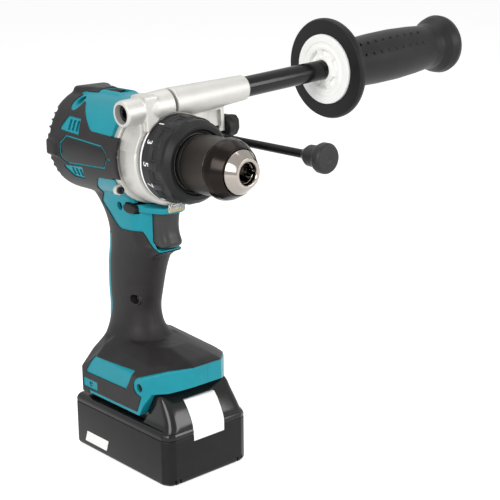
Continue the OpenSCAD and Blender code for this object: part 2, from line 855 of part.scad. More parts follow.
module spindle() {
    color(steel)
        difference() {
            union() {
                carrier_plate(stage_2_x + gear_w + 0.6, stage_2_x + gear_w + 6, stage_2_x);
                xcyl(10, stage_2_x + gear_w + 5, case_nose_x - 6);
                xcyl(spindle_r, case_nose_x - 7, 62);
            }
            xcyl(2.5, 44, 63);
        }
}

// One jaw bore or jaw rod at angle a, from s0 to s1 along its slope
jaw_slope = 15;
jaw_tip_r = 8.8;
jaw_tip_x = nose_x - 22.2;
module jaw_rod(a, r, s0, s1) {
    translate([jaw_tip_x, 0, axis_z])
        rotate([a, 0, 0])
            translate([0, 0, jaw_tip_r])
                rotate([0, 90 + jaw_slope, 0])
                    translate([0, 0, s0])
                        cylinder(r = r, h = s1 - s0);
}

module chuck_body() {
    color([0.78, 0.76, 0.74])
        difference() {
            xturn([[54.5, 0], [54.5, 15], [57, 18], [nose_x - 22, 18], [nose_x - 9, 15],
                [nose_x - 6, 15], [nose_x, mouth_r + 2.7], [nose_x, 0]]);
            xcyl(spindle_r, 50, 62);
            xcyl(6.9, 62, nose_x - 3);
            xcyl(mouth_r, nose_x - 4, nose_x + 1);
            xring(16, 19, 65.8, 71.2);
            for (a = [30, 150, 270])
                jaw_rod(a, jaw_r + fit, -24, 34);
        }
}

module chuck_screw() {
    color(steel)
        difference() {
            union() {
                xcyl(2.5, 46, 62);
                xcyl(4.6, 62, 65);
            }
            translate([63.4, 0, axis_z])
                rotate([0, 90, 0])
                    cylinder(r = 2, h = 3, $fn = 6);
        }
}

module chuck_sleeve() {
    color([0.27, 0.26, 0.25])
        xturn([[54, 18 + gap], [54, sleeve_r - 0.8], [54.8, sleeve_r], [nose_x - 22.5, sleeve_r],
            [nose_x - 22, bell_r], [nose_x - 19, bell_r], [nose_x - 13.5, 19.2], [nose_x - 7.6, 16],
            [nose_x - 7.6, 15.4], [nose_x - 9, 15.4], [nose_x - 22, 18 + gap]]);
}

module jaw_nut() {
    color(steel)
        xring(16.2, 18 + gap, 66, 71);
}

// Gripping jaw at angle a: a sloped rod cut to a wedge that meets the others on the axis
module jaw(a) {
    color(steel)
        intersection() {
            jaw_rod(a, jaw_r, -22, 0);
            translate([0, 0, axis_z])
                rotate([a, 0, 0])
                    translate([0, 0, 6.6])
                        rotate([90, 0, 90])
                            translate([0, 0, 40])
                                linear_extrude(height = 60)
                                    polygon([[-0.5, 0], [0.5, 0], [18, 17.5 / tan(60)], [18, 30], [-18, 30],
                                        [-18, 17.5 / tan(60)]]);
        }
}

module jaw_a() { jaw(30); }
module jaw_b() { jaw(150); }
module jaw_c() { jaw(270); }

// ---------------------------------------------------------------- rings

module torque_ring() {
    color(case_black)
        difference() {
            union() {
                xturn([[ring_x, 20 + gap], [ring_x, ring_r], [ring_x + 9, ring_r - 0.3],
                    [ring_x + 9.6, ring_r - 2], [ring_x + ring_l, ring_r - 2.4], [ring_x + ring_l, 20 + gap]]);
                for (a = [0:30:330])
                    translate([ring_x + 9, 0, axis_z])
                        rotate([a, 0, 0])
                            translate([0, -3, ring_r - 4])
                                cube([ring_l - 9, 6, 3.2]);
            }
            xring(20 - 1, ring_r - 4, ring_x - 1, ring_x + ring_l - 4);
        }
}

module mode_ring() {
    color(grip_dark)
        xturn([[ring_x + ring_l + gap, 20 + gap], [ring_x + ring_l + gap, ring_r - 1.6],
            [mode_front_x - 4, ring_r - 2.2], [mode_front_x, 25.6], [mode_front_x, 22.6],
            [mode_front_x - 2.6, 22], [mode_front_x - 2.6, 20 + gap]]);
}

// ---------------------------------------------------------------- controls

module trigger() {
    color(grip_dark)
        union() {
            intersection() {
                side_prism([[trigger_root_x, trigger_low_z + 3], [trigger_x - 8, trigger_low_z],
                    [trigger_x - 1, trigger_low_z + 1.4], [trigger_x + 0.6, trigger_low_z + 6],
                    [trigger_x - 2, trigger_low_z + 14], [trigger_x - 2, trigger_low_z + 21],
                    [trigger_x - 1, trigger_top_z - 1], [trigger_x - 2, trigger_top_z],
                    [trigger_root_x, trigger_top_z]], -trigger_w / 2, trigger_w / 2);
                translate([trigger_x - 18, 0, trigger_low_z - 2])
                    linear_extrude(height = 36)
                        translate([-14, 0])
                            round_rect(66, trigger_w, 6);
            }
            translate([-12, 0, axis_z - 53])
                rotate([0, 90, 0])
                    cylinder(r = 3, h = 16);
        }
}

module reversing_lever() {
    color(case_black)
        union() {
            for (y0 = [-neck_w / 2 - 2.4, neck_w / 2 - 6])
                translate([lever_x, y0 + 8.4, lever_z])
                    rotate([90, 0, 0])
                        linear_extrude(height = 8.4)
                            round_rect(lever_l, lever_h, 3.6);
            span([lever_x - 5, -neck_w / 2 + 5, trigger_top_z + 1.2], [lever_x + 5, neck_w / 2 - 5, lever_z + 2.1]);
        }
}

module speed_lever() {
    color(case_black)
        union() {
            span([-48.6, -6, axis_z + head_r - cavity_in - 1.4], [-36, 6, axis_z + head_r]);
            for (x = [-47.6, -43.6, -39.6])
                span([x, -5, axis_z + head_r], [x + 2, 5, axis_z + head_r + 1.8]);
        }
}

// ---------------------------------------------------------------- side handle

// Puts a piece drawn along the bar, with +Y along it, into place
module on_bar() {
    translate([0, 0, axis_z])
        rotate([bar_turn, 0, 0])
            children();
}

// Cylinder along the bar from t0 to t1
module bar_cyl(r, t0, t1) {
    translate([bar_x, t0, bar_h])
        rotate([-90, 0, 0])
            cylinder(r = r, h = t1 - t0);
}

// Solid of revolution about the bar from [t, r] points
module bar_turned(points) {
    translate([bar_x, 0, bar_h])
        rotate([-90, 0, 0])
            rotate_extrude($fn = 72)
                polygon([for (p = points) [p[1], p[0]]]);
}

// Cylinder about the spindle in the clamp's own frame
module seat_cyl(r, x0, x1) {
    translate([x0, 0, 0])
        rotate([0, 90, 0])
            cylinder(r = r, h = x1 - x0);
}

module clamp_jaw_right() {
    color(cast_metal)
        on_bar()
            difference() {
                union() {
                    intersection() {
                        seat_cyl(clamp_out_r, clamp_x0, clamp_x1);
                        span([clamp_x0, -big, -big], [clamp_x1, split_y0, big]);
                    }
                    span([bar_x - boss_r, -27, 14], [clamp_x1, split_y0, bar_h]);
                    bar_cyl(boss_r, -38.5, -20);
                    bar_turned([[-20, 0], [-20, boss_r], [-14, tube_r], [split_y0, tube_r + 0.6], [split_y0, 0]]);
                    span([bar_x - boss_r, -24, bar_h], [bar_x + boss_r, -14, bar_h + boss_r + 0.6]);
                }
                seat_cyl(nose_seat_r + fit, 0, clamp_x1 + 1);
                seat_cyl(ring_r + 1.6, ring_x - gap, big / 4);
                bar_cyl(4 + fit, -40, 6);
                bar_cyl(6.8, -39, -28);
            }
}

module clamp_bolt() {
    color(steel)
        on_bar()
            difference() {
                union() {
                    bar_cyl(4, -33, tube_end + 10);
                    bar_cyl(6.5, -34, -28);
                }
                translate([bar_x, -34.2, bar_h])
                    rotate([-90, 0, 0])
                        cylinder(r = 3.4, h = 3.4, $fn = 6);
            }
}

// Centre of the depth rod in the clamp's own frame, as [y, z]
rod_at = [rod_y, rod_h];

module clamp_jaw_left() {
    color(cast_metal)
        on_bar()
            difference() {
                union() {
                    intersection() {
                        seat_cyl(clamp_out_r, clamp_x0, clamp_x1);
                        span([clamp_x0, split_y1, -big], [clamp_x1, big, big]);
                    }
                    span([bar_x - boss_r, split_y1, 14], [clamp_x1, 28, bar_h]);
                    bar_turned([[split_y1, 0], [split_y1, tube_r + 0.6], [tube_end, tube_r - 1.6], [tube_end, 0]]);
                    // Web that carries the depth rod
                    translate([web_x0, 0, 0])
                        rotate([90, 0, 90])
                            linear_extrude(height = web_x1 - web_x0)
                                polygon([[20, bar_h], [rod_y + 6.4, bar_h], [rod_y + 6.4, rod_h],
                                    [rod_y + 4, rod_h - 6], [rod_y - 3, rod_h - 7], [26, -16], [22, -20]]);
                }
                // Sunk panel in the web's front face
                translate([web_x1 - 2.4, 0, 0])
                    rotate([90, 0, 90])
                        linear_extrude(height = 20)
                            polygon([[34, 24], [47.6, 24], [47.6, 13], [39, 4], [37, 8]]);
                seat_cyl(nose_seat_r + fit, 0, clamp_x1 + 1);
                seat_cyl(ring_r + 1.6, ring_x - gap, big / 4);
                bar_cyl(4 + fit, 0, tube_end + 1);
                bar_cyl(pipe_r + fit, 40, tube_end + 1);
                translate([0, rod_at[0], rod_at[1]])
                    rotate([0, 90, 0])
                        cylinder(r = rod_r + fit, h = 40);
                knob_frame()
                    translate([0, 0, rod_y - 5.6])
                        cylinder(r = 2.5 + fit, h = 20);
            }
}

// Frame of the thumb screw: its axis runs along the bar, just above the rod
module knob_frame() {
    translate([web_x1 - 4, 0, rod_at[1] + knob_rise])
        rotate([-90, 0, 0])
            children();
}

module thumb_screw() {
    color(case_black)
        on_bar()
            knob_frame()
                union() {
                    translate([0, 0, rod_y - 5])
                        cylinder(r = 2.5, h = 12);
                    translate([0, 0, rod_y + 6.7])
                        cylinder(r = 9, h = 6);
                    translate([-2.2, -8.4, rod_y + 12.6])
                        cube([4.4, 16.8, 9.4]);
                }
}

module depth_rod() {
    color(case_black)
        on_bar()
            translate([rod_rear_x, rod_at[0], rod_at[1]])
                rotate([0, 90, 0])
                    cylinder(r = rod_r, h = rod_l);
}

module rod_tip() {
    color(grip_dark)
        on_bar()
            translate([rod_rear_x + rod_l - 18, rod_at[0], rod_at[1]])
                rotate([0, 90, 0])
                    rotate_extrude()
                        polygon([[rod_r, 0], [rod_r + 1, 0], [7.2, 5], [7.2, 14], [9.4, 15], [10.4, 17],
                            [10.4, 21], [9.2, 22.6], [0, 22.2], [0, 18], [rod_r, 18]]);
}

module handle_pipe() {
    color(case_black)
        on_bar()
            bar_turned([[42, 4 + gap], [42, pipe_r], [grip_end - 8, pipe_r], [grip_end - 8, 0],
                [grip_end - 11, 0], [grip_end - 11, pipe_r - 1.6], [tube_end + 14, pipe_r - 1.6],
                [tube_end + 14, 4 + gap]]);
}

module handle_disc() {
    color([0.93, 0.92, 0.88])
        on_bar()
            bar_turned([[guard_y - 0.8, 9.4], [guard_y - 0.8, 27], [guard_y + 2, 27], [guard_y + 2, pipe_r],
                [guard_y - 3, pipe_r], [guard_y - 3, 9.4]]);
}

module handle_grip() {
    color(grip_dark)
        on_bar()
            bar_turned([[guard_y, 27], [guard_y, guard_r - 1.5], [guard_y + 1.5, guard_r],
                [guard_y + 4.5, guard_r], [guard_y + 6, guard_r - 2], [guard_y + 7, 21],
                [guard_y + 14, 19], [guard_y + 30, 19], [guard_y + 52, 20], [guard_y + 76, 20.2],
                [grip_end - 44, 19.2], [grip_end - 28, 18.2], [grip_end - 20, 19],
                [grip_end - 14, 22.4], [grip_end - 9, 23.8], [grip_end - 5, 23.2],
                [grip_end - 1.4, 20], [grip_end, 14], [grip_end, 0], [grip_end - 8, 0],
                [grip_end - 8, pipe_r], [guard_y + 2, pipe_r], [guard_y + 2, 27]]);
}

// ---------------------------------------------------------------- battery

// Cylinders at the battery's screw places from z0 to z1
module batt_screw_places(r, z0, z1) {
    for (sx = [-1, 1])
        for (sy = [-1, 1])
            translate([sx * batt_screw_x, sy * batt_screw_y, z0])
                cylinder(r = r, h = z1 - z0);
}

// Plan outline of the battery, drawn in by o
function batt_plan(o) = [
    [-batt_front_x + o, -batt_w / 2 + 3 + o / 2], [-batt_front_x + 2.5 + o / 2, -batt_w / 2 + o],
    [batt_front_x - 7.4 - o / 2, -batt_w / 2 + o], [batt_front_x - 2.4 - o / 2, -batt_w / 2 + 2.6 + o],
    [batt_front_x - o, -batt_w / 2 + 7.4 + o / 2], [batt_front_x - o, batt_w / 2 - 7.4 - o / 2],
    [batt_front_x - 2.4 - o / 2, batt_w / 2 - 2.6 - o], [batt_front_x - 7.4 - o / 2, batt_w / 2 - o],
    [-batt_front_x + 2.5 + o / 2, batt_w / 2 - o], [-batt_front_x + o, batt_w / 2 - 3 - o / 2]];

// Room for the release button, drawn out by o; its face follows the wedge
button_profile = [[wedge_x + 1, batt_h - 6.5], [batt_front_x - 1.6, batt_case_h + 3.6],
    [batt_front_x + 0.4, batt_case_h + 1.6], [batt_front_x + 0.4, batt_case_h - 5.2],
    [batt_front_x - 3, batt_case_h - 5.2], [batt_front_x - 3.6, batt_case_h - 1],
    [wedge_x - 1, batt_h - 11]];

module button_room() {
    side_prism([[wedge_x - 2.4, batt_h - 5], [wedge_x + 1.6, batt_h - 4.4],
        [batt_front_x + 1, batt_case_h + 12], [batt_front_x + 1, batt_case_h - 9],
        [batt_front_x - 3.4, batt_case_h - 9], [batt_front_x - 8, batt_case_h - 8],
        [wedge_x - 6, batt_h - 16]], -button_half - gap, button_half + gap);
}

module battery_lower_case() {
    color(case_black)
        difference() {
            union() {
                difference() {
                    hull() {
                        translate([0, 0, 2])
                            linear_extrude(height = batt_case_h - 2)
                                polygon(batt_plan(0));
                        linear_extrude(height = 1)
                            polygon(batt_plan(1.6));
                    }
                    translate([0, 0, batt_floor])
                        linear_extrude(height = batt_case_h)
                            polygon(batt_plan(batt_wall));
                }
                batt_screw_places(3.3, 1, 16);
            }
            batt_screw_places(1.4, 0, 13);
            batt_screw_places(2.6 + gap, -1, 2.4);
            button_room();
        }
}

module battery_upper_case() {
    color(case_black)
        difference() {
            union() {
                // Shoulder over the lower case
                hull() {
                    translate([0, 0, batt_case_h])
                        linear_extrude(height = 3)
                            polygon(batt_plan(0));
                    translate([0, 0, batt_case_h + 4])
                        linear_extrude(height = batt_shoulder_h - batt_case_h - 4)
                            polygon(batt_plan(2.4));
                }
                // Rail block that slides into the foot
                span([-batt_front_x + 10, -rail_w / 2, batt_shoulder_h - 1], [wedge_x, rail_w / 2, batt_h]);
                // Wedge that fills the space below the lip
                hull() {
                    span([wedge_x - 2, -30, batt_shoulder_h - 1], [wedge_x - 1, 30, batt_h + 1.5]);
                    span([wedge_x - 11.6, -34, batt_shoulder_h - 1], [batt_front_x - 1.6, 34, batt_shoulder_h]);
                    side_prism([[batt_front_x - 7, batt_shoulder_h + 9], [batt_front_x - 2.6, batt_shoulder_h + 1],
                        [wedge_x, batt_shoulder_h + 1]], -31, 31);
                }
            }
            // Inside
            translate([0, 0, batt_case_h - 1])
                linear_extrude(height = batt_shoulder_h - batt_case_h - 1.2)
                    polygon(batt_plan(batt_wall));
            span([-batt_front_x + 16, -rail_w / 2 + 6, batt_shoulder_h - 4], [wedge_x - 9, rail_w / 2 - 6, batt_h - 2.4]);
            // Rail grooves
            for (s = [-1, 1])
                span([-batt_front_x, s > 0 ? rail_w / 2 - 2.8 : -rail_w / 2 - 1, foot_z + 3.6],
                    [batt_front_x - 29, s > 0 ? rail_w / 2 + 1 : -rail_w / 2 + 2.8, foot_z + 7.4]);
            // Slots for the tool's terminal blades
            for (y = [-16, -5, 5, 16])
                span([-batt_front_x, y - 1.1, foot_z + 8.4], [-batt_front_x + 30, y + 1.1, batt_h + 1]);
            span([-batt_front_x, -22.6, foot_z + 7.4], [foot_rear_x + cavity_in + 3.6, 22.6, batt_h + 1]);
            // Gauge window at the rear and the button's room in front
            span([-batt_front_x - 1, -12.3, batt_case_h + 0.4], [-batt_front_x + 2.4, 12.3, batt_case_h + 4.9]);
            button_room();
        }
}

module battery_cells() {
    color([0.20, 0.45, 0.30])
        for (row = [-2:2])
            for (layer = [0, 1])
                ycyl(row * (2 * cell_r + gap), batt_floor + cell_r + layer * (2 * cell_r + gap), cell_r,
                    -cell_l / 2, cell_l / 2);
}

module battery_board() {
    color([0.10, 0.35, 0.18])
        span([-batt_front_x + 16, -rail_w / 2 + 6, foot_z + 5.5], [wedge_x - 9, rail_w / 2 - 6, foot_z + 7.1]);
}

module battery_terminals() {
    color([0.80, 0.62, 0.28])
        for (y = [-16, -5, 5, 16])
            for (s = [-1, 1])
                span([-batt_front_x + 20, y + (s > 0 ? 0.8 : -1.1), foot_z + 7.1],
                    [-batt_front_x + 29, y + (s > 0 ? 1.1 : -0.8), batt_h - 3]);
}

module battery_screws() {
    color(steel)
        difference() {
            union() {
                batt_screw_places(2.6, 0.6, 2.4);
                batt_screw_places(1.4, 0.6, 12);
            }
            for (sx = [-1, 1])
                for (sy = [-1, 1])
                    translate([sx * batt_screw_x, sy * batt_screw_y, 0])
                        cylinder(r = 1.2, h = 1.6, $fn = 6);
        }
}

module fuel_gauge() {
    color([0.15, 0.16, 0.17])
        span([-batt_front_x + 0.4, -12, batt_case_h + 0.6], [-batt_front_x + 2.4, 4, batt_case_h + 4.7]);
}

module gauge_button() {
    color([0.75, 0.75, 0.75])
        span([-batt_front_x - 0.3, 5.4, batt_case_h + 0.8], [-batt_front_x + 1.6, 11.4, batt_case_h + 4.5]);
}

module release_button() {
    color([0.93, 0.93, 0.90])
        side_prism(button_profile, -button_half, button_half);
}

// ---------------------------------------------------------------- output

housing_right();
housing_left();
grip_right();
grip_left();
side_plates();
housing_screws();
gear_case();
gear_case_screws();
led_lens();
led_board();
stator();
stator_coils();
motor_bearings();
ring_gear();
spindle_bearing();
switch_unit();
controller_board();
terminal_block();
hook_nuts();
rotor();
motor_shaft();
fan();
carrier_1();
planet_1a();
planet_1b();
planet_1c();
spindle();
chuck_body();
chuck_screw();
planet_2a();
planet_2b();
planet_2c();
chuck_sleeve();
jaw_nut();
jaw_a();
jaw_b();
jaw_c();
torque_ring();
mode_ring();
trigger();
reversing_lever();
speed_lever();
clamp_jaw_right();
clamp_bolt();
clamp_jaw_left();
handle_pipe();
handle_grip();
handle_disc();
thumb_screw();
depth_rod();
rod_tip();
battery_lower_case();
battery_upper_case();
battery_cells();
battery_board();
battery_terminals();
battery_screws();
fuel_gauge();
gauge_button();
release_button();
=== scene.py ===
# %% [markdown]
# # A cordless hammer driver drill
# This lesson dresses a finished CAD model of a drill. The model gives the true sizes and the
# joints. Blender gives the soft corners, the rubber, the cast metal and the light.
# It starts by loading the model as a fixed frame, and reads the model's boxes for sizes.

# %% Load the frame
import json
import math
import bpy
from mathutils import Matrix, Vector

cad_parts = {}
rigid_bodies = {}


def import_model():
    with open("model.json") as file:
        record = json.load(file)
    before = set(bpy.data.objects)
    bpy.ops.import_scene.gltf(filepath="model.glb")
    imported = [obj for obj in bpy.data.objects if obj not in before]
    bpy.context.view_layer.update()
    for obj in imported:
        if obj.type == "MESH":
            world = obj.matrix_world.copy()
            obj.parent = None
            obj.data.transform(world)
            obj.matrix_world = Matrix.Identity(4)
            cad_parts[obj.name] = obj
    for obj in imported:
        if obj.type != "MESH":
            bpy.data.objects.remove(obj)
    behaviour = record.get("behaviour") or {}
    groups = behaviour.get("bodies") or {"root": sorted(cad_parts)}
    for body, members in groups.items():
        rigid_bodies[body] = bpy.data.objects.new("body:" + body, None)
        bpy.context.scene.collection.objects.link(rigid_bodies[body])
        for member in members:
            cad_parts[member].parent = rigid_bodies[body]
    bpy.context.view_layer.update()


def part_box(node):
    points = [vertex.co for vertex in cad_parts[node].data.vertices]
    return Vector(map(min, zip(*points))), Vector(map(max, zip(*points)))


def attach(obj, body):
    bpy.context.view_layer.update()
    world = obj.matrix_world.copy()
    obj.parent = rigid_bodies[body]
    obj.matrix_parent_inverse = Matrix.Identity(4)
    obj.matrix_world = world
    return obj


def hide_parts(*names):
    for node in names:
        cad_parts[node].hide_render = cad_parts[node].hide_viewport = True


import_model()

MM = 0.001

# %% [markdown]
# The drill is drawn in millimetres, as its maker would, and turned into Blender's metres when
# a mesh is made. The heights and places that pieces share are read from the CAD boxes here.

# %% Places that the pieces share
def low(node):
    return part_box(node)[0] / MM


def high(node):
    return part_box(node)[1] / MM


A = (low("motor_shaft").z + high("motor_shaft").z) / 2
SPINDLE = Vector((0, 0, A))
HEAD_R = 38.5
HEAD = Vector((0, 0, A + 1.5))
REAR = low("grip_right").x
BATT_W = high("battery_lower_case").y
print("spindle height", round(A, 2), "rear face", round(REAR, 2))

# %% [markdown]
# Blender's tools act on what is selected, and loading the frame leaves every CAD node
# selected. These helpers clear the selection, pick one piece, and step in and out of edit mode.

# %% Selecting and editing
def pick(*objects):
    if bpy.context.object and bpy.context.object.mode != "OBJECT":
        bpy.ops.object.mode_set(mode="OBJECT")
    bpy.ops.object.select_all(action="DESELECT")
    for thing in objects:
        thing.select_set(True)
    if objects:
        bpy.context.view_layer.objects.active = objects[0]
    return objects[0] if objects else None


def edit(piece, select="SELECT"):
    pick(piece)
    bpy.ops.object.mode_set(mode="EDIT")
    bpy.ops.mesh.select_all(action=select)


def close(piece, merge=0.002):
    """Merge doubles, drop loose bits, fill open ends and point every face outwards."""
    edit(piece)
    bpy.ops.mesh.remove_doubles(threshold=merge * MM)
    bpy.ops.mesh.delete_loose()
    bpy.ops.mesh.select_all(action="DESELECT")
    bpy.ops.mesh.select_non_manifold()
    bpy.ops.mesh.fill_holes(sides=0)
    bpy.ops.mesh.select_all(action="SELECT")
    bpy.ops.mesh.normals_make_consistent(inside=False)
    bpy.ops.object.mode_set(mode="OBJECT")
    return piece


def apply(piece, kind, **settings):
    """Add a modifier, set it, and apply it."""
    modifier = piece.modifiers.new(kind.title(), kind)
    for name, value in settings.items():
        setattr(modifier, name, value)
    pick(piece)
    bpy.ops.object.modifier_apply(modifier=modifier.name)
    return piece


print("selection and edit mode helpers ready")


# %% [markdown]
# Most machine parts come from three moves. A turned piece is an outline spun round an axis. A
# plate is an outline pushed out to a thickness. A loft is a grid wrapped over a row of
# outlines. Each starts as a primitive whose points are moved to their true places.

# %% Turned pieces, plates and lofts
def loop(name, points):
    pick()
    bpy.ops.mesh.primitive_circle_add(vertices=len(points), radius=0.01)
    piece = bpy.context.object
    piece.name = piece.data.name = name
    for vertex, point in zip(piece.data.vertices, points):
        vertex.co = Vector(point) * MM
    return piece


def rounded(points, radius, steps=4):
    """Rounds the corners of a closed outline. A point may carry its own radius as a third number."""
    result = []
    for i, corner in enumerate(points):
        r = corner[2] if len(corner) > 2 else radius
        here = Vector(corner[:2])
        back = Vector(points[i - 1][:2]) - here
        on = Vector(points[(i + 1) % len(points)][:2]) - here
        if r <= 0 or back.length < 1e-6 or on.length < 1e-6:
            result.append(tuple(here))
            continue
        half = back.angle(on) / 2
        if half < 0.05 or half > 1.5:
            result.append(tuple(here))
            continue
        reach = min(r / math.tan(half), back.length * 0.48, on.length * 0.48)
        first, last = here + back.normalized() * reach, here + on.normalized() * reach
        for k in range(steps + 1):
            t = k / steps
            result.append(tuple(first * (1 - t) ** 2 + here * 2 * t * (1 - t) + last * t ** 2))
    return result


ALONG = {"X": Vector((1, 0, 0)), "Y": Vector((0, 1, 0)), "Z": Vector((0, 0, 1))}
OUT = {"X": Vector((0, 0, 1)), "Y": Vector((0, 0, 1)), "Z": Vector((1, 0, 0))}
PLACE = {"X": lambda a, b, t: (t, a, b), "Y": lambda a, b, t: (a, t, b), "Z": lambda a, b, t: (a, b, t)}


def turned(name, profile, axis="X", centre=SPINDLE, steps=96):
    """Spins a closed outline of (along, radius) points round an axis."""
    piece = loop(name, [centre + ALONG[axis] * p[0] + OUT[axis] * p[1] for p in profile])
    edit(piece)
    bpy.ops.mesh.spin(steps=steps, angle=2 * math.pi, center=centre * MM, axis=ALONG[axis])
    return close(piece)


def plate(name, outline, start, end, axis="Y"):
    """Pushes an outline out along an axis, from start to end."""
    piece = loop(name, [PLACE[axis](p[0], p[1], start) for p in outline])
    edit(piece)
    bpy.ops.mesh.edge_face_add()
    bpy.ops.mesh.extrude_region_move(TRANSFORM_OT_translate={"value": ALONG[axis] * (end - start) * MM})
    return close(piece)


def lofted(name, rings):
    """Wraps a grid over rings of points, closes its seam and fills its two ends."""
    around = len(rings[0])
    pick()
    bpy.ops.mesh.primitive_grid_add(x_subdivisions=around, y_subdivisions=len(rings) - 1, size=0.1)
    piece = bpy.context.object
    piece.name = piece.data.name = name
    for row, ring in enumerate(rings):
        for k in range(around + 1):
            piece.data.vertices[row * (around + 1) + k].co = Vector(ring[k % around]) * MM
    return close(piece)


def block(name, start, end):
    """A box from corner to corner, to be shaped further or used as a cutter."""
    start, end = Vector(start), Vector(end)
    return plate(name, [(start.x, start.y), (end.x, start.y), (end.x, end.y), (start.x, end.y)],
                 start.z, end.z, axis="Z")


print("turned, plate and loft helpers ready")


# %% [markdown]
# Pieces are joined, cut and softened here. A boolean adds or takes away a second form. A
# bevel rounds sharp edges. A voxel remesh with a little smoothing melts forms into one, as a
# casting or a moulded shell has soft inner corners that no boolean gives.

# %% Cutting, softening and melting
def cut(piece, *tools, how="DIFFERENCE", solver="MANIFOLD", keep=False):
    for tool in tools:
        apply(piece, "BOOLEAN", operation=how, object=tool, solver=solver)
        if not keep:
            bpy.data.objects.remove(tool)
    return piece


def united(*tools):
    """Many small cutters made one, so that a heavy mesh is cut only once."""
    return cut(tools[0], *tools[1:], how="UNION")


def soften(piece, width, segments=3, angle=35):
    return apply(piece, "BEVEL", width=width * MM, segments=segments, limit_method="ANGLE",
                 angle_limit=math.radians(angle), miter_outer="MITER_ARC")


def melt(piece, voxel, rounds):
    apply(piece, "REMESH", mode="VOXEL", voxel_size=voxel * MM, use_smooth_shade=True)
    return apply(piece, "SMOOTH", factor=0.5, iterations=rounds)


def grow(piece, distance):
    """Moves the whole surface out, or in where the distance is negative."""
    return apply(piece, "DISPLACE", strength=distance * MM, mid_level=0.0, direction="NORMAL")


def copy(piece, name):
    twin = piece.copy()
    twin.data = piece.data.copy()
    twin.name = twin.data.name = name
    bpy.context.scene.collection.objects.link(twin)
    return twin


def moved(piece, matrix):
    """Moves the points and leaves the object at the origin."""
    piece.data.transform(matrix)
    piece.data.update()
    return piece


def turn(degrees, axis="X", centre=SPINDLE):
    centre = Vector(centre) * MM
    spin = Matrix.Rotation(math.radians(degrees), 4, axis)
    return Matrix.Translation(centre) @ spin @ Matrix.Translation(-centre)


def join(name, *pieces):
    pick(*pieces)
    if len(pieces) > 1:
        bpy.ops.object.join()
    pieces[0].name = pieces[0].data.name = name
    return pieces[0]


def fit(piece, body, finish, replaces=(), smooth=40):
    """Shades the piece, gives it its finish, and hangs it on its body."""
    pick(piece)
    bpy.ops.object.shade_smooth_by_angle(angle=math.radians(smooth))
    piece.data.materials.clear()
    piece.data.materials.append(finish)
    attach(piece, body)
    if replaces:
        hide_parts(*replaces)
    print(piece.name, len(piece.data.polygons), "faces")
    return piece

# %% [markdown]
# A finish is a small network of shader nodes. Written as plain sums it is easy to read, so
# one class wraps a socket and turns + - * / into Math nodes, and another makes every other
# kind of node from its type, its settings and its inputs.

# %% Shader maths written as sums
class Wire:
    def __init__(self, finish, socket):
        self.finish, self.socket = finish, socket

    def maths(self, operation, first, second=None):
        values = {0: first} if second is None else {0: first, 1: second}
        return self.finish.add("ShaderNodeMath", {"operation": operation}, values)

    def __add__(self, other): return self.maths("ADD", self, other)
    def __radd__(self, other): return self.maths("ADD", other, self)
    def __sub__(self, other): return self.maths("SUBTRACT", self, other)
    def __rsub__(self, other): return self.maths("SUBTRACT", other, self)
    def __mul__(self, other): return self.maths("MULTIPLY", self, other)
    def __rmul__(self, other): return self.maths("MULTIPLY", other, self)
    def __truediv__(self, other): return self.maths("DIVIDE", self, other)
    def __pow__(self, other): return self.maths("POWER", self, other)
    def __gt__(self, other): return self.maths("GREATER_THAN", self, other)
    def __lt__(self, other): return self.maths("LESS_THAN", self, other)
    def __abs__(self): return self.maths("ABSOLUTE", self)
    def sine(self): return self.maths("SINE", self)
    def least(self, other): return self.maths("MINIMUM", self, other)
    def most(self, other): return self.maths("MAXIMUM", self, other)
    def clamped(self): return self.least(1.0).most(0.0)


class Finish:
    def __init__(self, name):
        self.material = bpy.data.materials.new(name)
        self.material.use_nodes = True
        self.tree = self.material.node_tree
        self.shader = self.tree.nodes["Principled BSDF"]

    def plug(self, node, inputs):
        for key, value in inputs.items():
            if isinstance(value, Wire):
                self.tree.links.new(value.socket, node.inputs[key])
            else:
                node.inputs[key].default_value = value

    def add(self, kind, settings=None, inputs=None, output=0):
        node = self.tree.nodes.new(kind)
        for name, value in (settings or {}).items():
            if name == "stops":
                ramp = node.color_ramp
                while len(ramp.elements) < len(value):
                    ramp.elements.new(0.5)
                for stop, (position, shade) in zip(ramp.elements, value):
                    stop.position, stop.color = position, shade
            else:
                setattr(node, name, value)
        self.plug(node, inputs or {})
        return Wire(self, node.outputs[output])

    def blend(self, factor, first, second):
        return self.add("ShaderNodeMix", {"data_type": "RGBA"}, {0: factor, 6: first, 7: second}, 2)

    def set(self, **inputs):
        self.plug(self.shader, {name.replace("_", " "): value for name, value in inputs.items()})
        return self.material


def paint(red, green, blue):
    """A colour as a paint chart gives it, turned into the linear light that a shader mixes."""
    return tuple((c / 12.92 if c <= 0.04045 else ((c + 0.055) / 1.055) ** 2.4)
                 for c in (red / 255, green / 255, blue / 255)) + (1.0,)


print("shader maths ready")
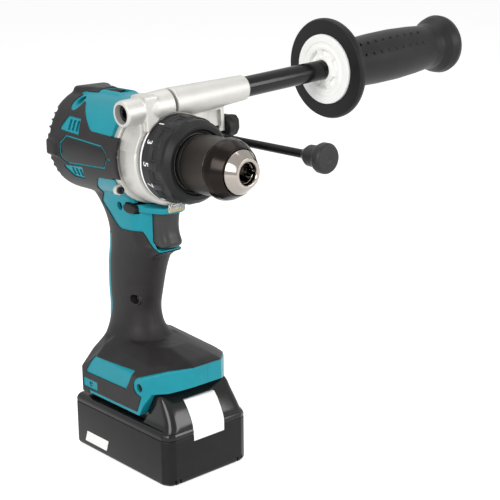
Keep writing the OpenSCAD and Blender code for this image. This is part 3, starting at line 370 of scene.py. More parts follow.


# %% [markdown]
# Nearly every surface here is moulded, cast or turned, and no two square centimetres of such a
# surface are alike. The base finish gives each a fine grain in its bumps, slow clouds in
# colour and gloss, and edges painted lighter: partly wear from hands, and partly a painted
# highlight where the edges catch the light.

# %% The base finish
def surface(name, colour, rough, grain=0.3, size=0.5, depth=0.05, cloud=0.10, edge=0.25, edge_width=0.5,
            metal=0.0, coat=0.0, coat_rough=0.1, shine=0.2, tint=None, smudge=0.08, extra=None):
    """grain is the bump's strength, size the grain in mm, depth its height in mm."""
    f = Finish(name)
    place = f.add("ShaderNodeTexCoord", output=3)
    fine = f.add("ShaderNodeTexNoise", None, {"Vector": place, "Scale": 1 / (size * MM), "Detail": 3.0})
    slow = f.add("ShaderNodeTexNoise", None, {"Vector": place, "Scale": 55.0, "Detail": 4.0,
                                              "Roughness": 0.6})
    plain = f.add("ShaderNodeNewGeometry", output=1)
    bent = f.add("ShaderNodeBevel", {"samples": 4}, {"Radius": edge_width * MM})
    same = f.add("ShaderNodeVectorMath", {"operation": "DOT_PRODUCT"}, {0: plain, 1: bent}, 1)
    # Edges are painted lighter in a paler tint: partly wear, partly a painted highlight where the edges
    # catch the light.
    wear_and_highlight = ((1.0 - same) * 6.0).clamped() * (slow * 0.9 + 0.35)
    light = tuple(min(1.0, c * (1 + cloud) + 0.004) for c in colour[:3]) + (1.0,)
    dark = tuple(c * (1 - cloud) for c in colour[:3]) + (1.0,)
    wear_and_highlight_colour = tint or tuple(min(1.0, c * 1.5 + 0.05) for c in colour[:3]) + (1.0,)
    mixed = f.blend(((slow - 0.3) * 2.2).clamped(), dark, light)
    mixed = f.blend((wear_and_highlight * edge).clamped(), mixed, wear_and_highlight_colour)
    height = fine
    gloss = rough + (slow - 0.5) * smudge - wear_and_highlight * 0.08
    if extra:
        mixed, gloss, height = extra(f, place, mixed, gloss, height)
    bump = f.add("ShaderNodeBump", None, {"Strength": grain, "Distance": depth * MM, "Height": height,
                                          "Normal": bent})
    return f.set(Base_Color=mixed, Roughness=gloss.clamped(), Normal=bump, Metallic=metal, Coat_Weight=coat,
                 Coat_Roughness=coat_rough, Specular_IOR_Level=shine)


print("base finish ready")


# %% [markdown]
# The shells are moulded in a teal nylon, and a dark rubber is moulded over them. The nylon is
# a little glossy with a fine spark-eroded grain, the rubber duller. The black gloss parts, the
# cast alloy, the turned steel and the plated parts follow the same recipe with other numbers.

# %% Plastics and rubber
TEAL = surface("teal_nylon", paint(20, 136, 150), 0.4, grain=0.25, size=0.35, depth=0.03, cloud=0.06,
               edge=0.35, tint=paint(92, 182, 196))
RUBBER = surface("soft_grip_rubber", paint(36, 34, 34), 0.5, grain=0.4, size=0.45, depth=0.05, cloud=0.10,
                 edge=0.25, tint=paint(78, 76, 75), shine=0.2)
BLACK = surface("black_moulded", paint(24, 24, 24), 0.45, grain=0.35, size=0.5, depth=0.04, cloud=0.12,
                edge=0.3, tint=paint(64, 64, 64))
BLACK_GLOSS = surface("black_gloss", paint(12, 12, 12), 0.16, grain=0.06, size=0.8, depth=0.02, cloud=0.15,
                      edge=0.3, tint=paint(60, 60, 60), smudge=0.12, shine=0.32)
PLATE_GLOSS = surface("side_plate_gloss", paint(8, 8, 9), 0.18, grain=0.05, size=0.8, depth=0.02, edge=0.2,
                      smudge=0.15, shine=0.25)
CASE = surface("battery_case_texture", paint(10, 9, 9), 0.36, grain=0.5, size=0.4, depth=0.05, cloud=0.12,
               edge=0.35, tint=paint(90, 90, 90))
RING = surface("ring_nylon", paint(40, 40, 41), 0.46, grain=0.4, size=0.45, depth=0.05, cloud=0.1,
               edge=0.35, tint=paint(96, 96, 98))
GRIP = surface("handle_rubber", paint(24, 24, 25), 0.46, grain=0.4, size=0.5, depth=0.05, cloud=0.12,
               edge=0.3, tint=paint(84, 84, 84))
TRIGGER = surface("trigger_nylon", paint(56, 55, 55), 0.36, grain=0.2, size=0.4, depth=0.03, cloud=0.08,
                  edge=0.3)
WHITE = surface("white_nylon", paint(252, 251, 248), 0.35, grain=0.1, size=0.5, depth=0.02, cloud=0.03,
                edge=0.2, tint=paint(250, 250, 248))
MARK = surface("white_print", paint(252, 252, 250), 0.5, grain=0.1, size=0.3, depth=0.01, cloud=0.04,
               edge=0.0)
TIP = surface("rod_tip_rubber", paint(42, 41, 41), 0.42, grain=0.4, size=0.6, depth=0.05, cloud=0.12,
              edge=0.3)
LENS_CLEAR = surface("clear_lens", paint(232, 232, 228), 0.12, grain=0.08, size=0.8, depth=0.02, cloud=0.02,
                     edge=0.2, tint=paint(250, 250, 250))
LENS_CLEAR.node_tree.nodes["Principled BSDF"].inputs["Transmission Weight"].default_value = 0.8
print("plastics ready")


# %% [markdown]
# A metal is told from a plastic by its Metallic value and by how sharply it mirrors the studio.
# The cast alloy is matt and grainy, the plated nose is smooth, and blackened steel lies between.

# %% Metals
CAST = surface("cast_alloy", paint(196, 194, 189), 0.5, grain=0.7, size=0.8, depth=0.12, cloud=0.05,
               edge=0.5, metal=0.5, tint=paint(224, 223, 219), smudge=0.14, shine=0.5)
STEEL = surface("plain_steel", paint(168, 168, 172), 0.3, grain=0.2, size=0.5, depth=0.02, metal=1.0,
                edge=0.2)
BLACK_STEEL = surface("black_oxide_steel", paint(30, 30, 31), 0.35, grain=0.2, size=0.4, depth=0.02,
                      metal=0.7, edge=0.4, tint=paint(150, 150, 150))
CHROME = surface("ground_steel", paint(156, 149, 142), 0.12, grain=0.12, size=0.5, depth=0.01, metal=1.0,
                 cloud=0.05, edge=0.2, smudge=0.06)
PIPE = surface("painted_pipe", paint(9, 9, 9), 0.16, grain=0.1, size=1.2, depth=0.02, cloud=0.1, edge=0.2,
               smudge=0.08, shine=0.25)
ROD = surface("black_rod", paint(22, 22, 22), 0.28, grain=0.15, size=0.6, depth=0.02, metal=0.2, edge=0.3)
CORE = surface("core_steel", paint(120, 121, 124), 0.45, metal=0.9, grain=0.3, size=0.4)
COPPER = surface("copper_wire", paint(186, 104, 52), 0.35, metal=1.0, grain=0.5, size=0.6, depth=0.2)
BRASS = surface("brass", paint(196, 164, 84), 0.3, metal=1.0, grain=0.2)
BOARD = surface("circuit_board", paint(24, 92, 50), 0.4, grain=0.2, size=0.8)
LAMP_BOARD = surface("lamp_board", paint(222, 190, 60), 0.4, grain=0.2)
CELL_WRAP = surface("cell_wrap", paint(40, 120, 80), 0.3, grain=0.1, coat=0.3)
print("metals ready")


# %% [markdown]
# The chuck sleeve is dark nitrided steel with a fine diamond knurl. Its ridges are far too
# small to model one by one, so two crossed sine waves round the spindle raise the bump and
# paint shade into the hollows between the ridges.

# %% Knurled sleeve
def knurl(f, place, mixed, gloss, height):
    parts = f.add("ShaderNodeSeparateXYZ", None, {0: place})
    x = Wire(f, parts.socket.node.outputs[0])
    y = Wire(f, parts.socket.node.outputs[1])
    z = Wire(f, parts.socket.node.outputs[2]) - A * MM
    angle = y.maths("ARCTAN2", y, z) * 62.0
    along = x * (62.0 / 20.2 / MM)
    ridges = (angle + along).sine() * (angle - along).sine()
    zone = (x > 0.0552) * (x < 0.0774)
    # The hollows between the ridges are painted darker: painted shade in the knurl.
    pit_shade = (1.0 - abs(ridges)) * zone
    mixed = f.blend(pit_shade * 0.5, mixed, paint(16, 14, 13))
    mixed = f.blend((x > 0.0778) * 0.9, mixed, paint(30, 26, 24))
    return mixed, gloss + zone * 0.12, height * 0.2 + abs(ridges) * zone * 2.0


SLEEVE = surface("nitrided_steel", paint(66, 61, 57), 0.22, grain=0.5, size=0.4, depth=0.12, metal=0.9,
                 cloud=0.08, edge=0.25, tint=paint(120, 116, 110), extra=knurl)
print("knurl ready")

# %% [markdown]
# The studio is a pale floor under a white sky, three soft lamps and one camera. The camera
# stands in front of the tool's right side, a little above it, with a long lens so that the
# lines stay nearly parallel.

# %% Camera
def look(azimuth, elevation, roll, aim, distance, lens):
    azimuth, elevation, roll = map(math.radians, (azimuth, elevation, roll))
    ahead = Vector((-math.cos(azimuth) * math.cos(elevation), math.sin(azimuth) * math.cos(elevation),
                    -math.sin(elevation)))
    across = ahead.cross(Vector((0, 0, 1))).normalized()
    above = across.cross(ahead)
    right = across * math.cos(roll) + above * math.sin(roll)
    up = above * math.cos(roll) - across * math.sin(roll)
    data = bpy.data.cameras.new("studio_camera")
    data.lens, data.sensor_width = lens, 36
    camera = bpy.data.objects.new("studio_camera", data)
    bpy.context.scene.collection.objects.link(camera)
    matrix = Matrix((right, up, -ahead)).transposed().to_4x4()
    matrix.translation = Vector(aim) * MM - ahead * distance * MM
    camera.matrix_world = matrix
    bpy.context.scene.camera = camera
    return camera


camera = look(42.176, 15.747, -0.433, (-5.27, 96.84, 137.11), 973.1, 89.645)
print("camera at", [round(v, 4) for v in camera.matrix_world.translation])

# %% [markdown]
# The white ground is a colour, and no extra light falls on the tool for it. The world shows
# full white to the camera and to reflections, and gives the tool only a moderate fill.

# %% World, floor and lamps
scene = bpy.context.scene
scene.view_settings.view_transform = "Standard"
world = bpy.data.worlds.new("studio")
scene.world = world
world.use_nodes = True
sky = world.node_tree
sky.nodes.clear()
ray = sky.nodes.new("ShaderNodeLightPath")
seen = sky.nodes.new("ShaderNodeBackground")
fill = sky.nodes.new("ShaderNodeBackground")
seen.inputs["Color"].default_value = (1, 1, 1, 1)
seen.inputs["Strength"].default_value = 1.0
fill.inputs["Color"].default_value = (1, 1, 1, 1)
fill.inputs["Strength"].default_value = 0.42
direct = sky.nodes.new("ShaderNodeMath")
direct.operation = "ADD"
sky.links.new(ray.outputs["Is Camera Ray"], direct.inputs[0])
sky.links.new(ray.outputs["Is Glossy Ray"], direct.inputs[1])
either = sky.nodes.new("ShaderNodeMath")
either.operation = "ADD"
either.use_clamp = True
sky.links.new(direct.outputs[0], either.inputs[0])
sky.links.new(ray.outputs["Is Transmission Ray"], either.inputs[1])
choose = sky.nodes.new("ShaderNodeMixShader")
out = sky.nodes.new("ShaderNodeOutputWorld")
sky.links.new(either.outputs[0], choose.inputs[0])
sky.links.new(fill.outputs[0], choose.inputs[1])
sky.links.new(seen.outputs[0], choose.inputs[2])
sky.links.new(choose.outputs[0], out.inputs[0])


def ground():
    f = Finish("pale_floor")
    f.tree.nodes.remove(f.shader)
    path = f.add("ShaderNodeLightPath")
    direct = Wire(f, path.socket.node.outputs["Is Camera Ray"]) + Wire(f,
            path.socket.node.outputs["Is Glossy Ray"])
    matt = f.add("ShaderNodeBsdfDiffuse", None, {"Color": (0.8, 0.8, 0.8, 1)})
    glow = f.add("ShaderNodeEmission", None, {"Color": (1, 1, 1, 1), "Strength": direct.clamped() * 0.62})
    both = f.add("ShaderNodeAddShader", None, {0: matt, 1: glow})
    f.tree.links.new(both.socket, f.tree.nodes["Material Output"].inputs["Surface"])
    return f.material


pick()
bpy.ops.mesh.primitive_plane_add(size=14, location=(0, 0, -0.0006))
floor = bpy.context.object
floor.name = "studio_floor"
floor.data.materials.append(ground())


def lamp(name, place, aim, size, watts):
    data = bpy.data.lights.new(name, "AREA")
    data.size, data.energy = size, watts
    light = bpy.data.objects.new(name, data)
    scene.collection.objects.link(light)
    light.location = Vector(place)
    light.rotation_euler = (Vector(aim) - Vector(place)).to_track_quat("-Z", "Y").to_euler()
    return light


lamp("key_lamp", (0.6, -1.4, 0.9), (0, 0.02, 0.15), 0.9, 20)
lamp("top_lamp", (-0.25, 0.25, 1.65), (0, 0.05, 0.15), 1.0, 6.5)
lamp("side_lamp", (1.5, 0.75, 0.7), (0, 0.08, 0.17), 0.8, 15)
print("studio ready")

# %% [markdown]
# The housing is one flowing form: a round motor head, a handle that swells into a neck, and a
# broad foot over the battery. Each is simple alone. The head is turned, the handle and the foot
# are lofted, and a smooth curve through the handle's stations keeps its outline free of kinks.

# %% Head, handle and foot
def between(rows, parts=4):
    """More rows on a smooth curve through the given rows of numbers."""
    result = []
    for i in range(len(rows) - 1):
        a, b, c, d = (rows[max(i - 1, 0)], rows[i], rows[i + 1], rows[min(i + 2, len(rows) - 1)])
        for k in range(parts):
            t = k / parts
            result.append([0.5 * (2 * q + (r - p) * t + (2 * p - 5 * q + 4 * r - s) * t * t
                                  + (3 * q - p - 3 * r + s) * t ** 3) for p, q, r, s in zip(a, b, c, d)])
    return result + [list(rows[-1])]


STATIONS = [(73, -50, 29, 32.7), (82, -49, 14, 27.7), (89, -48.4, 4, 22.2), (95, -47.8, -1, 18.3),
            (101, -47.4, -3.4, 16.5), (111, -47, -4.6, 15.8), (124, -48, -1.6, 16.1),
            (A - 86, -47.6, 4, 16.6), (A - 72, -45.4, 11, 17), (A - 60, -45.8, 20, 17.6),
            (A - 49, -50.6, 25, 18.2), (A - 39, -59.5, 27, 18.6), (A - 32, -68, 27.5, 19.5),
            (A - 22, -75, 27.5, 22)]


def oval(height, rear, front, half, inset=0, count=48):
    points = []
    for k in range(count):
        c, s = math.cos(2 * math.pi * k / count), math.sin(2 * math.pi * k / count)
        bulge = 2 / 2.35
        points.append(((rear + front) / 2 + ((front - rear) / 2 - inset) * math.copysign(abs(c) ** bulge,
                c),
                       (half - inset) * math.copysign(abs(s) ** bulge, s), height))
    return points


def handle_form(name, inset):
    piece = lofted(name, [oval(*row, inset=inset) for row in between(STATIONS)])
    return cut(piece, block("front", (4, -60, A - 35.2 - inset), (24.6, 60, 400)),
               block("top", (4, -60, A - 32.4 - inset), (90, 60, 400)))


FOOT = [[(-52, 0, 46), (-52, -30, 46), (-44, -39, 46), (-24, -39, 46), (29.5, -39, 46), (43.5, -27, 46),
         (56.5, -14, 46), (56.5, 0, 46)],
        [(-52, 0, 77), (-52, -30, 64), (-44, -39, 66), (-24, -39, 79), (29.5, -39, 76.2), (43.5, -27, 81.4),
         (56.5, -13, 85.2), (56.5, 0, 85.8)],
        [(-50, 0, 85), (-49, -19, 77.6), (-41, -30, 78.6), (-24, -31, 86.4), (28.5, -31, 82.6),
         (39.5, -22.5, 85), (49.5, -11, 87.6), (49.5, 0, 88)],
        [(-47, 0, 92), (-46, -12, 88.4), (-38, -20, 88.6), (-24, -20, 91), (10, -18, 89.6), (20, -14, 89.8),
         (24, -8, 90.6), (24, 0, 90.8)]]


def foot_form(name):
    return lofted(name, [half + [(x, -y, z) for x, y, z in half[-2:0:-1]] for half in FOOT])


def bumper(side):
    z = HEAD.z
    near, far = 30 * side, (HEAD_R + 3.2) * side
    return lofted("bumper", [[(-75, near, z - 10), (-59, near, z - 10), (-59, near, z + 7),
                              (-75, near, z + 7)],
                             [(-73.4, far, z - 7), (-62.5, far, z - 7), (-62.5, far, z + 4),
                              (-73.4, far, z + 4)]])


head = turned("head", rounded([(REAR, 0, 0), (REAR, HEAD_R, 8), (7, HEAD_R, 0), (7, 0, 0)], 0, 8),
              centre=HEAD)
body = cut(head, handle_form("handle", 0), foot_form("foot"), bumper(-1), bumper(1), how="UNION")
hump = soften(block("hump", (-50.5, -9.5, A + 30), (-25.5, 9.5, A + 41)), 2.5)
ridge = soften(plate("ridge", [(-76, -15), (-67, -15), (-61, -9), (-49, -8.5), (-49, 8.5), (-61, 9),
                               (-67, 15), (-76, 15)], A + 30, A + 41.3, axis="Z"), 3)
lip = soften(plate("lip", [(0, 168), (7, 167.6), (11, 165.4), (15, 163.8), (19.4, 163), (20.6, 161.6),
                           (19.4, 159.8), (13, 157.6), (6, 153), (0, 148)], -9.6, 9.6), 2.2, 3)
body = cut(body, hump, ridge, lip, how="UNION")
for side in (-1, 1):
    corner = [(10, 9.4), (8.5, 10.6), (4, 14), (-3, 17.4), (-3, 40), (60, 40), (60, 9.4)]
    body = cut(body, plate("corner", [(x, y * side) for x, y in corner], A - 66.5, A - 41, axis="Z"))
body = melt(body, 1.0, 7)
print("body", len(body.data.polygons), "faces")

# %% [markdown]
# The teal shell lies a little under the rubber, so its surface is the melted body drawn in by
# 0.7 mm. The rubber keeps the full size and is 1.8 mm thick. Where each shows is a matter of
# outlines: the rubber is kept only inside one side view outline and one roof outline. Two narrow
# ribs on the back of the handle belong to the teal shell and stand a little above the rubber.

# %% Outlines of the rubber, the panels and the plates
def up(outline):
    return [(x, z + A) for x, z in outline]


RUBBER_SIDE = up([(-70, 50), (-67, 37.4), (-61, 36.2), (-48.2, 32.4), (-27.5, 17.6), (-25, 16.4), (9, 15.4),
                  (9, 5), (6.2, 2.2), (9, -1), (9, -14.2), (-20, -16.2), (-31.1, -25.6), (-36.6, -33.5),
                  (-41.5, -39.5), (-40.5, -41.5), (-33, -45.6), (-21.4, -54.4), (-17.4, -56), (3.2, -55),
                  (5.2, -58), (7.6, -63.6), (10.4, -67), (14.6, -69), (40, -69.6), (80, -128)]) + \
              [(80, 86.8), (56.5, 85.3), (43, 82.4), (26, 76.5), (21, 73), (19.4, 70), (20, 65.4),
               (23, 62.8), (28, 61.6), (22.6, 49.2), (-36, 49.2), (-36, 43), (-95, 43)] + up([(-95, 50)])
PANEL = [(-39.6, 62.5), (-27.4, 78.3), (20, 79), (11, 63)]
HOOK_PATCH = [(-43, 50.4), (-43, 57.6), (-25, 57.6), (-25, 50.4)]
NAME_PLATE = up([(-59.1, 3.5), (-52.5, 9.3), (-10.2, 7.4), (-5, 3.6), (-4.4, -1), (-7.9, -6.9),
                 (-52.1, -9.6), (-59.3, -6.2)])
VENT_UP = up([(-60.5, 14.1), (-55.9, 22.5), (-41.2, 22), (-38.6, 12.9)])
VENT_DOWN = up([(-59.3, -13.3), (-36.6, -11.6), (-39.8, -19.8), (-52.1, -20)])
SCREWS = [(-56, A + 32.4), (-17.5, A - 39), (-10, 120), (26, 68)]


def widened(outline, margin):
    """The same closed outline, moved out by a margin all round."""
    area = sum(a[0] * b[1] - b[0] * a[1] for a, b in zip(outline, outline[1:] + outline[:1]))
    sign = 1 if area > 0 else -1
    result = []
    for i, point in enumerate(outline):
        here, before, after = Vector(point), Vector(outline[i - 1]), Vector(outline[(i + 1) % len(outline)])
        first, second = (here - before).normalized(), (after - here).normalized()
        normal = Vector((first.y, -first.x)) + Vector((second.y, -second.x))
        normal /= max(0.5, 1 + first.dot(second))
        result.append(tuple(here + normal * margin * sign))
    return result


def both_sides(name, outline, depth=60):
    return plate(name, outline, -depth, depth)


def one_side(name, outline, side, start=12, end=60):
    return plate(name, outline, *sorted((side * start, side * end)))


def slots(side, grow_by=0.0, reach=46):
    """The three slots of each vent on one side."""
    tools = []
    for x in (-52.6, -47.9, -43.2):
        tools.append(one_side("slot", widened(up([(x, 13.9), (x + 2.9, 13.7), (x + 2.1, 21.1),
                                                  (x - 0.8, 21.2)]),
                                              grow_by), side, 20, reach))
    for x in (-51.8, -47.1, -42.4):
        tools.append(one_side("slot", widened(up([(x, -18.9), (x + 2.9, -18.9), (x + 3.6, -13),
                                                  (x + 0.6, -13.2)]),
                                              grow_by), side, 20, reach))
    return tools


def rim_slots(side, margin=0.0):
    tools = []
    for angle in (-39, -31, -23, -14, 14, 23, 31, 39):
        tool = soften(block("rim_slot", (REAR - 1, 30, HEAD.z - 1.5 - margin),
                            (REAR + 6.2 + margin, 50, HEAD.z + 1.5 + margin)), 0.6, 2)
        tool = moved(tool, turn(angle, centre=HEAD))
        tools.append(tool if side > 0 else mirror_tool(tool))
    return tools


def mirror_tool(tool):
    moved(tool, Matrix.Scale(-1, 4, (0, 1, 0)))
    return close(tool)


print("outlines ready")

# %% [markdown]
# Everything that moves or shines through the housing needs its opening: the seat of the gear
# case, the battery's slot with its two rails, the trigger, the levers, the lamp, the vents and
# the screws. The same cutters are used on the shell and on the rubber, so their edges agree.

# %% Openings
def openings():
    seat = turned("seat", [(-1, 36.3), (-1, 52), (12, 52), (12, 36.3)])
    seat = cut(seat, block("band", (-9, -60, A - 13.6), (20, 60, A + 15.2)),
               block("neck", (-9, -24, 100), (20, 24, A - 35.2)))
    inner = turned("inner", [(-1, 0), (-1, 36.3), (40, 36.3), (40, 0)])
    slot = cut(block("slot", (-47.6, -30.6, 20), (90, 30.6, 62.6)),
               block("rail", (-52, 27.6, 50), (26.5, 31.6, 53)),
               block("rail", (-52, -31.6, 50), (26.5, -27.6, 53)))
    wedge = both_sides("wedge", [(24.5, 20), (24.5, 46.2), (33.5, 62.6), (34.2, 64.1), (43.5, 65.4),
                                 (50, 68), (56.7, 71), (90, 71), (90, 20)])
    trigger = block("trigger_room", (-2, -8.8, A - 67.4), (90, 8.8, A - 39.7))
    step = both_sides("step", rounded([(9, A - 63), (9, A - 40), (90, A - 40), (90, A - 65.6),
                                       (14, A - 65.6)], 2))
    lever = both_sides("lever_slot", rounded([(-11.3, A - 42.5), (3.3, A - 42.5), (3.3, A - 34.5),
                                              (-11.3, A - 34.5)], 3.9, 6))
    lamp = block("lamp_room", (24.8, -7.6, A - 38.4), (90, 7.6, A - 33.2))
    lamp_in = block("lamp_in", (18, -5.4, A - 38.4), (30, 5.4, A - 36))
    roof = block("roof_slot", (-49, -6.3, A + 30), (-27.6, 6.3, A + 60))
    hooks = turned("hook_hole", [(-60, 0), (-60, 2), (60, 2), (60, 0)], "Y", Vector((-33.5, 0, 54)), 32)
    return united(seat, inner, slot, wedge, trigger, step, lever, lamp, lamp_in, roof, hooks)


def screw_holes(radii, depth=60):
    return [turned("screw_hole", [(-depth, 0), (-depth, radius), (-seat, radius), (-seat, 0)], "Y",
                   Vector((x, 0, z)), 32) for (x, z), seat, radius in zip(SCREWS, (13, 13, 7, 30), radii)]


def rib_zone(side, margin):
    """Where one of the two ribs on the back of the handle lies."""
    return block("rib_zone", (-60, min(side * 11.3, side * 14.5) - margin, 102 - margin),
                 (-26, max(side * 11.3, side * 14.5) + margin, 166 + margin))


shell = grow(copy(body, "shell"), -0.7)
ribs = cut(grow(copy(body, "ribs"), 0.3), united(rib_zone(-1, 0), rib_zone(1, 0)), how="INTERSECT")
shell = cut(shell, ribs, how="UNION")
hollow = turned("hollow", [(REAR + 4.4, 0), (REAR + 4.4, 34), (20, 34), (20, 0)], centre=HEAD)
handle_hollow = cut(handle_form("handle_hollow", 4.4), block("low", (-90, -60, 20), (60, 60, 66)),
                    block("trigger_wall", (-1, -60, A - 72), (60, 60, A - 38)),
                    block("lamp_wall", (21, -60, 0), (90, 60, 400)))
cutter = openings()
shell = cut(shell, united(copy(cutter, "cutter"), hollow, handle_hollow, *slots(-1), *slots(1),
                          *rim_slots(-1), *rim_slots(1), *screw_holes((3.1, 3.1, 4.8, 3.1))))
print("shell", len(shell.data.polygons), "faces")

# %% [markdown]
# The rubber is the body's outer 1.8 mm inside its outlines. Panels, vents and the name plate's
# frame are openings in it through which the teal shows, and each gets its own margin. A short
# sleeve of dark rubber lines the screw hole in the handle, so that the hole's wall is dark.

# %% Rubber skin
zone = both_sides("zone", RUBBER_SIDE)
roof_zone = plate("roof_zone", [(-84, -26), (-68, -17), (-62.5, -11), (-50.2, -9.6), (-50.2, 9.6),
                                (-62.5, 11), (-68, 17), (-84, 26)], A + 20, A + 60, axis="Z")
zone = cut(zone, roof_zone, how="UNION")
skin = cut(copy(body, "skin"), zone, how="INTERSECT")
skin = cut(skin, grow(copy(body, "skin_inner"), -1.8))
frames = []
for side in (-1, 1):
    frames += [one_side("frame", rounded(outline, r), side) for outline, r in
               ((PANEL, 1.2), (HOOK_PATCH, 1.0), (widened(NAME_PLATE, 1.2), 2.2),
                (widened(VENT_UP, 0.9), 1.2), (widened(VENT_DOWN, 0.9), 1.2),
                (up([(-2.8, -0.9), (1.2, -0.9), (1.2, 0.3), (-2.8, 0.3)]), 0.3))]
    frames += rim_slots(side, 0.8)
seam = block("seam_strip", (-60, -2.3, 75), (-36, 2.3, 156))
frames += [rib_zone(side, 0.12) for side in (-1, 1)]
ring_room = turned("ring_room", [(-60, 0), (-60, 5.6), (-10, 5.6), (-10, 0)], "Y",
                   Vector((-56, 0, A + 32.4)), 40)
skin = cut(skin, united(cutter, *frames, seam, *screw_holes((3.2, 3.2, 3.7, 3.2)), ring_room))
skin = cut(skin, turned("hole_lining", [(-12, 3.7), (-12, 4.6), (-7.2, 4.6), (-7.2, 3.7)], "Y",
                        Vector((-10, 0, 120)), 32), how="UNION")
print("skin", len(skin.data.polygons), "faces")


# %% [markdown]
# A real housing is two halves that meet on the middle plane, and so are these. The parting
# gap is left open by a hair, because a fine dark line there is what the eye expects. The left
# half also gets room for the clamp's jaw, which slides outward when the side handle is loosened.

# %% Halves
def halves(piece, right, left):
    twin = copy(piece, left)
    piece.name = piece.data.name = right
    cut(piece, block("left_side", (-120, -0.07, -20), (120, 90, 400)))
    cut(twin, block("right_side", (-120, -90, -20), (120, 0.07, 400)))
    return piece, twin


shell_right, shell_left = halves(shell, "shell_right", "shell_left")
skin_right, skin_left = halves(skin, "skin_right", "skin_left")
for piece in (shell_left, skin_left):
    cut(piece, block("jaw_room", (4.3, 20, A - 30), (20, 60, A + 30)))
fit(shell_right, "drill_body", TEAL, ["housing_right"])
fit(shell_left, "drill_body", TEAL, ["housing_left"])
fit(skin_right, "drill_body", RUBBER, ["grip_right"])
fit(skin_left, "drill_body", RUBBER, ["grip_left"])
plates = []
for side in (-1, 1):
    piece = cut(grow(copy(body, "plate"), -0.25), one_side("plate_zone", rounded(NAME_PLATE, 2.0), side,
                                                           30),
                how="INTERSECT")
    plates.append(cut(piece, turned("plate_inner", [(-70, 0), (-70, 37.4), (20, 37.4), (20, 0)],
                                    centre=HEAD)))
name_plates = join("name_plates", *plates)
fit(name_plates, "drill_body", PLATE_GLOSS, ["side_plates"])
bpy.data.objects.remove(body)

# %% [markdown]
# The gear case is a machined casting. Its flange closes the front of the housing with four
# ears for black screws, and its round nose carries the side handle and the rings. It is
# turned, joined with its ears, bored, and its sharp edges are softened.

# %% Gear case and its screws
def ears(name, radius, start, end, angles=(35, 125, 215, 325), out=38.6, steps=40):
    return [turned(name, [(start, 0), (start, r), (end, r), (end, 0)],
                   centre=SPINDLE + Vector((0, math.cos(math.radians(a)), math.sin(math.radians(a)))) * out,
                   steps=steps) for a, r in zip(angles, radius)]


gear_case = turned("gear_case_cast", rounded([(-33, 12), (-33, 28.7, 1), (-1, 28.7), (-1, 36, 0.4),
                                              (4.2, 36, 0.8), (4.2, 30, 0.4), (24, 30, 0.6), (24, 20, 0.8),
                                              (49, 20, 0.8), (49, 12.2)],
                                             0, 4))
gear_case = cut(gear_case, *ears("ear", (3.2, 3.6, 3.6, 3.6), -1, 2.05), how="UNION")
gear_case = soften(gear_case, 0.5, 2, 50)
gear_case = cut(gear_case, turned("gear_room", [(-24, 0), (-24, 25.4), (19, 25.4), (19, 0)]))
fit(gear_case, "drill_body", CAST, ["gear_case"])

screws = [soften(screw, 0.5, 3, 50) for screw in ears("screw", (2.3, 2.6, 2.6, 2.6), 2.1, 4.3)]
screws = [cut(screw, socket) for screw, socket in
          zip(screws, ears("socket", (1.2, 1.3, 1.3, 1.3), 3.4, 6, steps=6))]
fit(join("gear_case_bolts", *screws), "drill_body", BLACK_STEEL, ["gear_case_screws"])

# %% [markdown]
# The torque ring turns in the hand, so its front half has eight flat ribs with sunk pads
# between them, and its rear half carries a scale under a white line. One rib and one pad are
# made as cutters and turned round the ring.

# %% Torque ring
RING_X = low("torque_ring").x
RING_END = high("torque_ring").x
ring = turned("torque_ring_moulded", rounded([(RING_X, 21), (RING_X, 31, 0.8), (RING_X + 9.4, 31, 0.8),
                                              (RING_X + 10.6, 29.6, 0.6), (RING_END, 29, 0.8),
                                              (RING_END, 21)], 0))
grooves = []
for k in range(12):
    pad = soften(block("pad", (RING_X + 11.4, -3.4, A + 28.3), (RING_END + 3, 3.4, A + 40)), 0.7, 2)
    grooves.append(moved(pad, turn(30 * k + 15)))
ribs = []
for k in range(12):
    rib = lofted("rib", [[(RING_X + 9.4, -3.2, A + 27), (RING_X + 9.4, 3.2, A + 27),
                          (RING_END - 0.6, 3.2, A + 27), (RING_END - 0.6, -3.2, A + 27)],
                         [(RING_X + 9.4, -2.6, A + 31), (RING_X + 9.4, 2.6, A + 31),
                          (RING_END - 1.8, 2.6, A + 30.6), (RING_END - 1.8, -2.6, A + 30.6)]])
    ribs.append(moved(soften(rib, 0.5, 2), turn(30 * k)))
ring = cut(ring, *grooves)
ring = cut(ring, *ribs, how="UNION")
ring = cut(ring, turned("ring_room", [(RING_X - 1, 19), (RING_X - 1, 27), (RING_END - 4, 27),
                                      (RING_END - 4, 19)]))
fit(ring, "torque_ring", RING, ["torque_ring"], smooth=35)

# %% [markdown]
# The scale is printed. Each number is a text turned into a mesh, bent to the ring's radius by
# moving its points, and set a hair above the surface, which stays crisp at any distance.

# %% Numbers and lines of the scale
def number(text, x, radius, angle, size):
    """A number that reads down the ring, with its top to the front; angle is from the top."""
    pick()
    bpy.ops.object.text_add()
    piece = bpy.context.object
    piece.data.body = text
    piece.data.size = size * MM
    piece.data.align_x, piece.data.align_y = "CENTER", "CENTER"
    piece.data.extrude = 0.06 * MM
    piece.data.offset = 0.07 * MM
    bpy.ops.object.convert(target="MESH")
    for vertex in piece.data.vertices:
        across, tall, thick = vertex.co / MM
        r = radius + thick
        around = math.radians(angle) + across / radius
        vertex.co = (SPINDLE + Vector((x + tall, -r * math.sin(around), r * math.cos(around)))) * MM
    piece.name = piece.data.name = "number_" + text
    return close(piece)


digits = []
for k in range(1, 22, 2):
    digits.append(number(str(k), RING_X + 7.0, 31.02, 32 + 14.25 * (k - 1), 7.4))
line = turned("white_line", [(RING_X + 0.7, 30.8), (RING_X + 0.7, 31.06), (RING_X + 2.4, 31.06),
                             (RING_X + 2.3, 30.8)])
fit(join("ring_scale", line, *digits), "torque_ring", MARK)

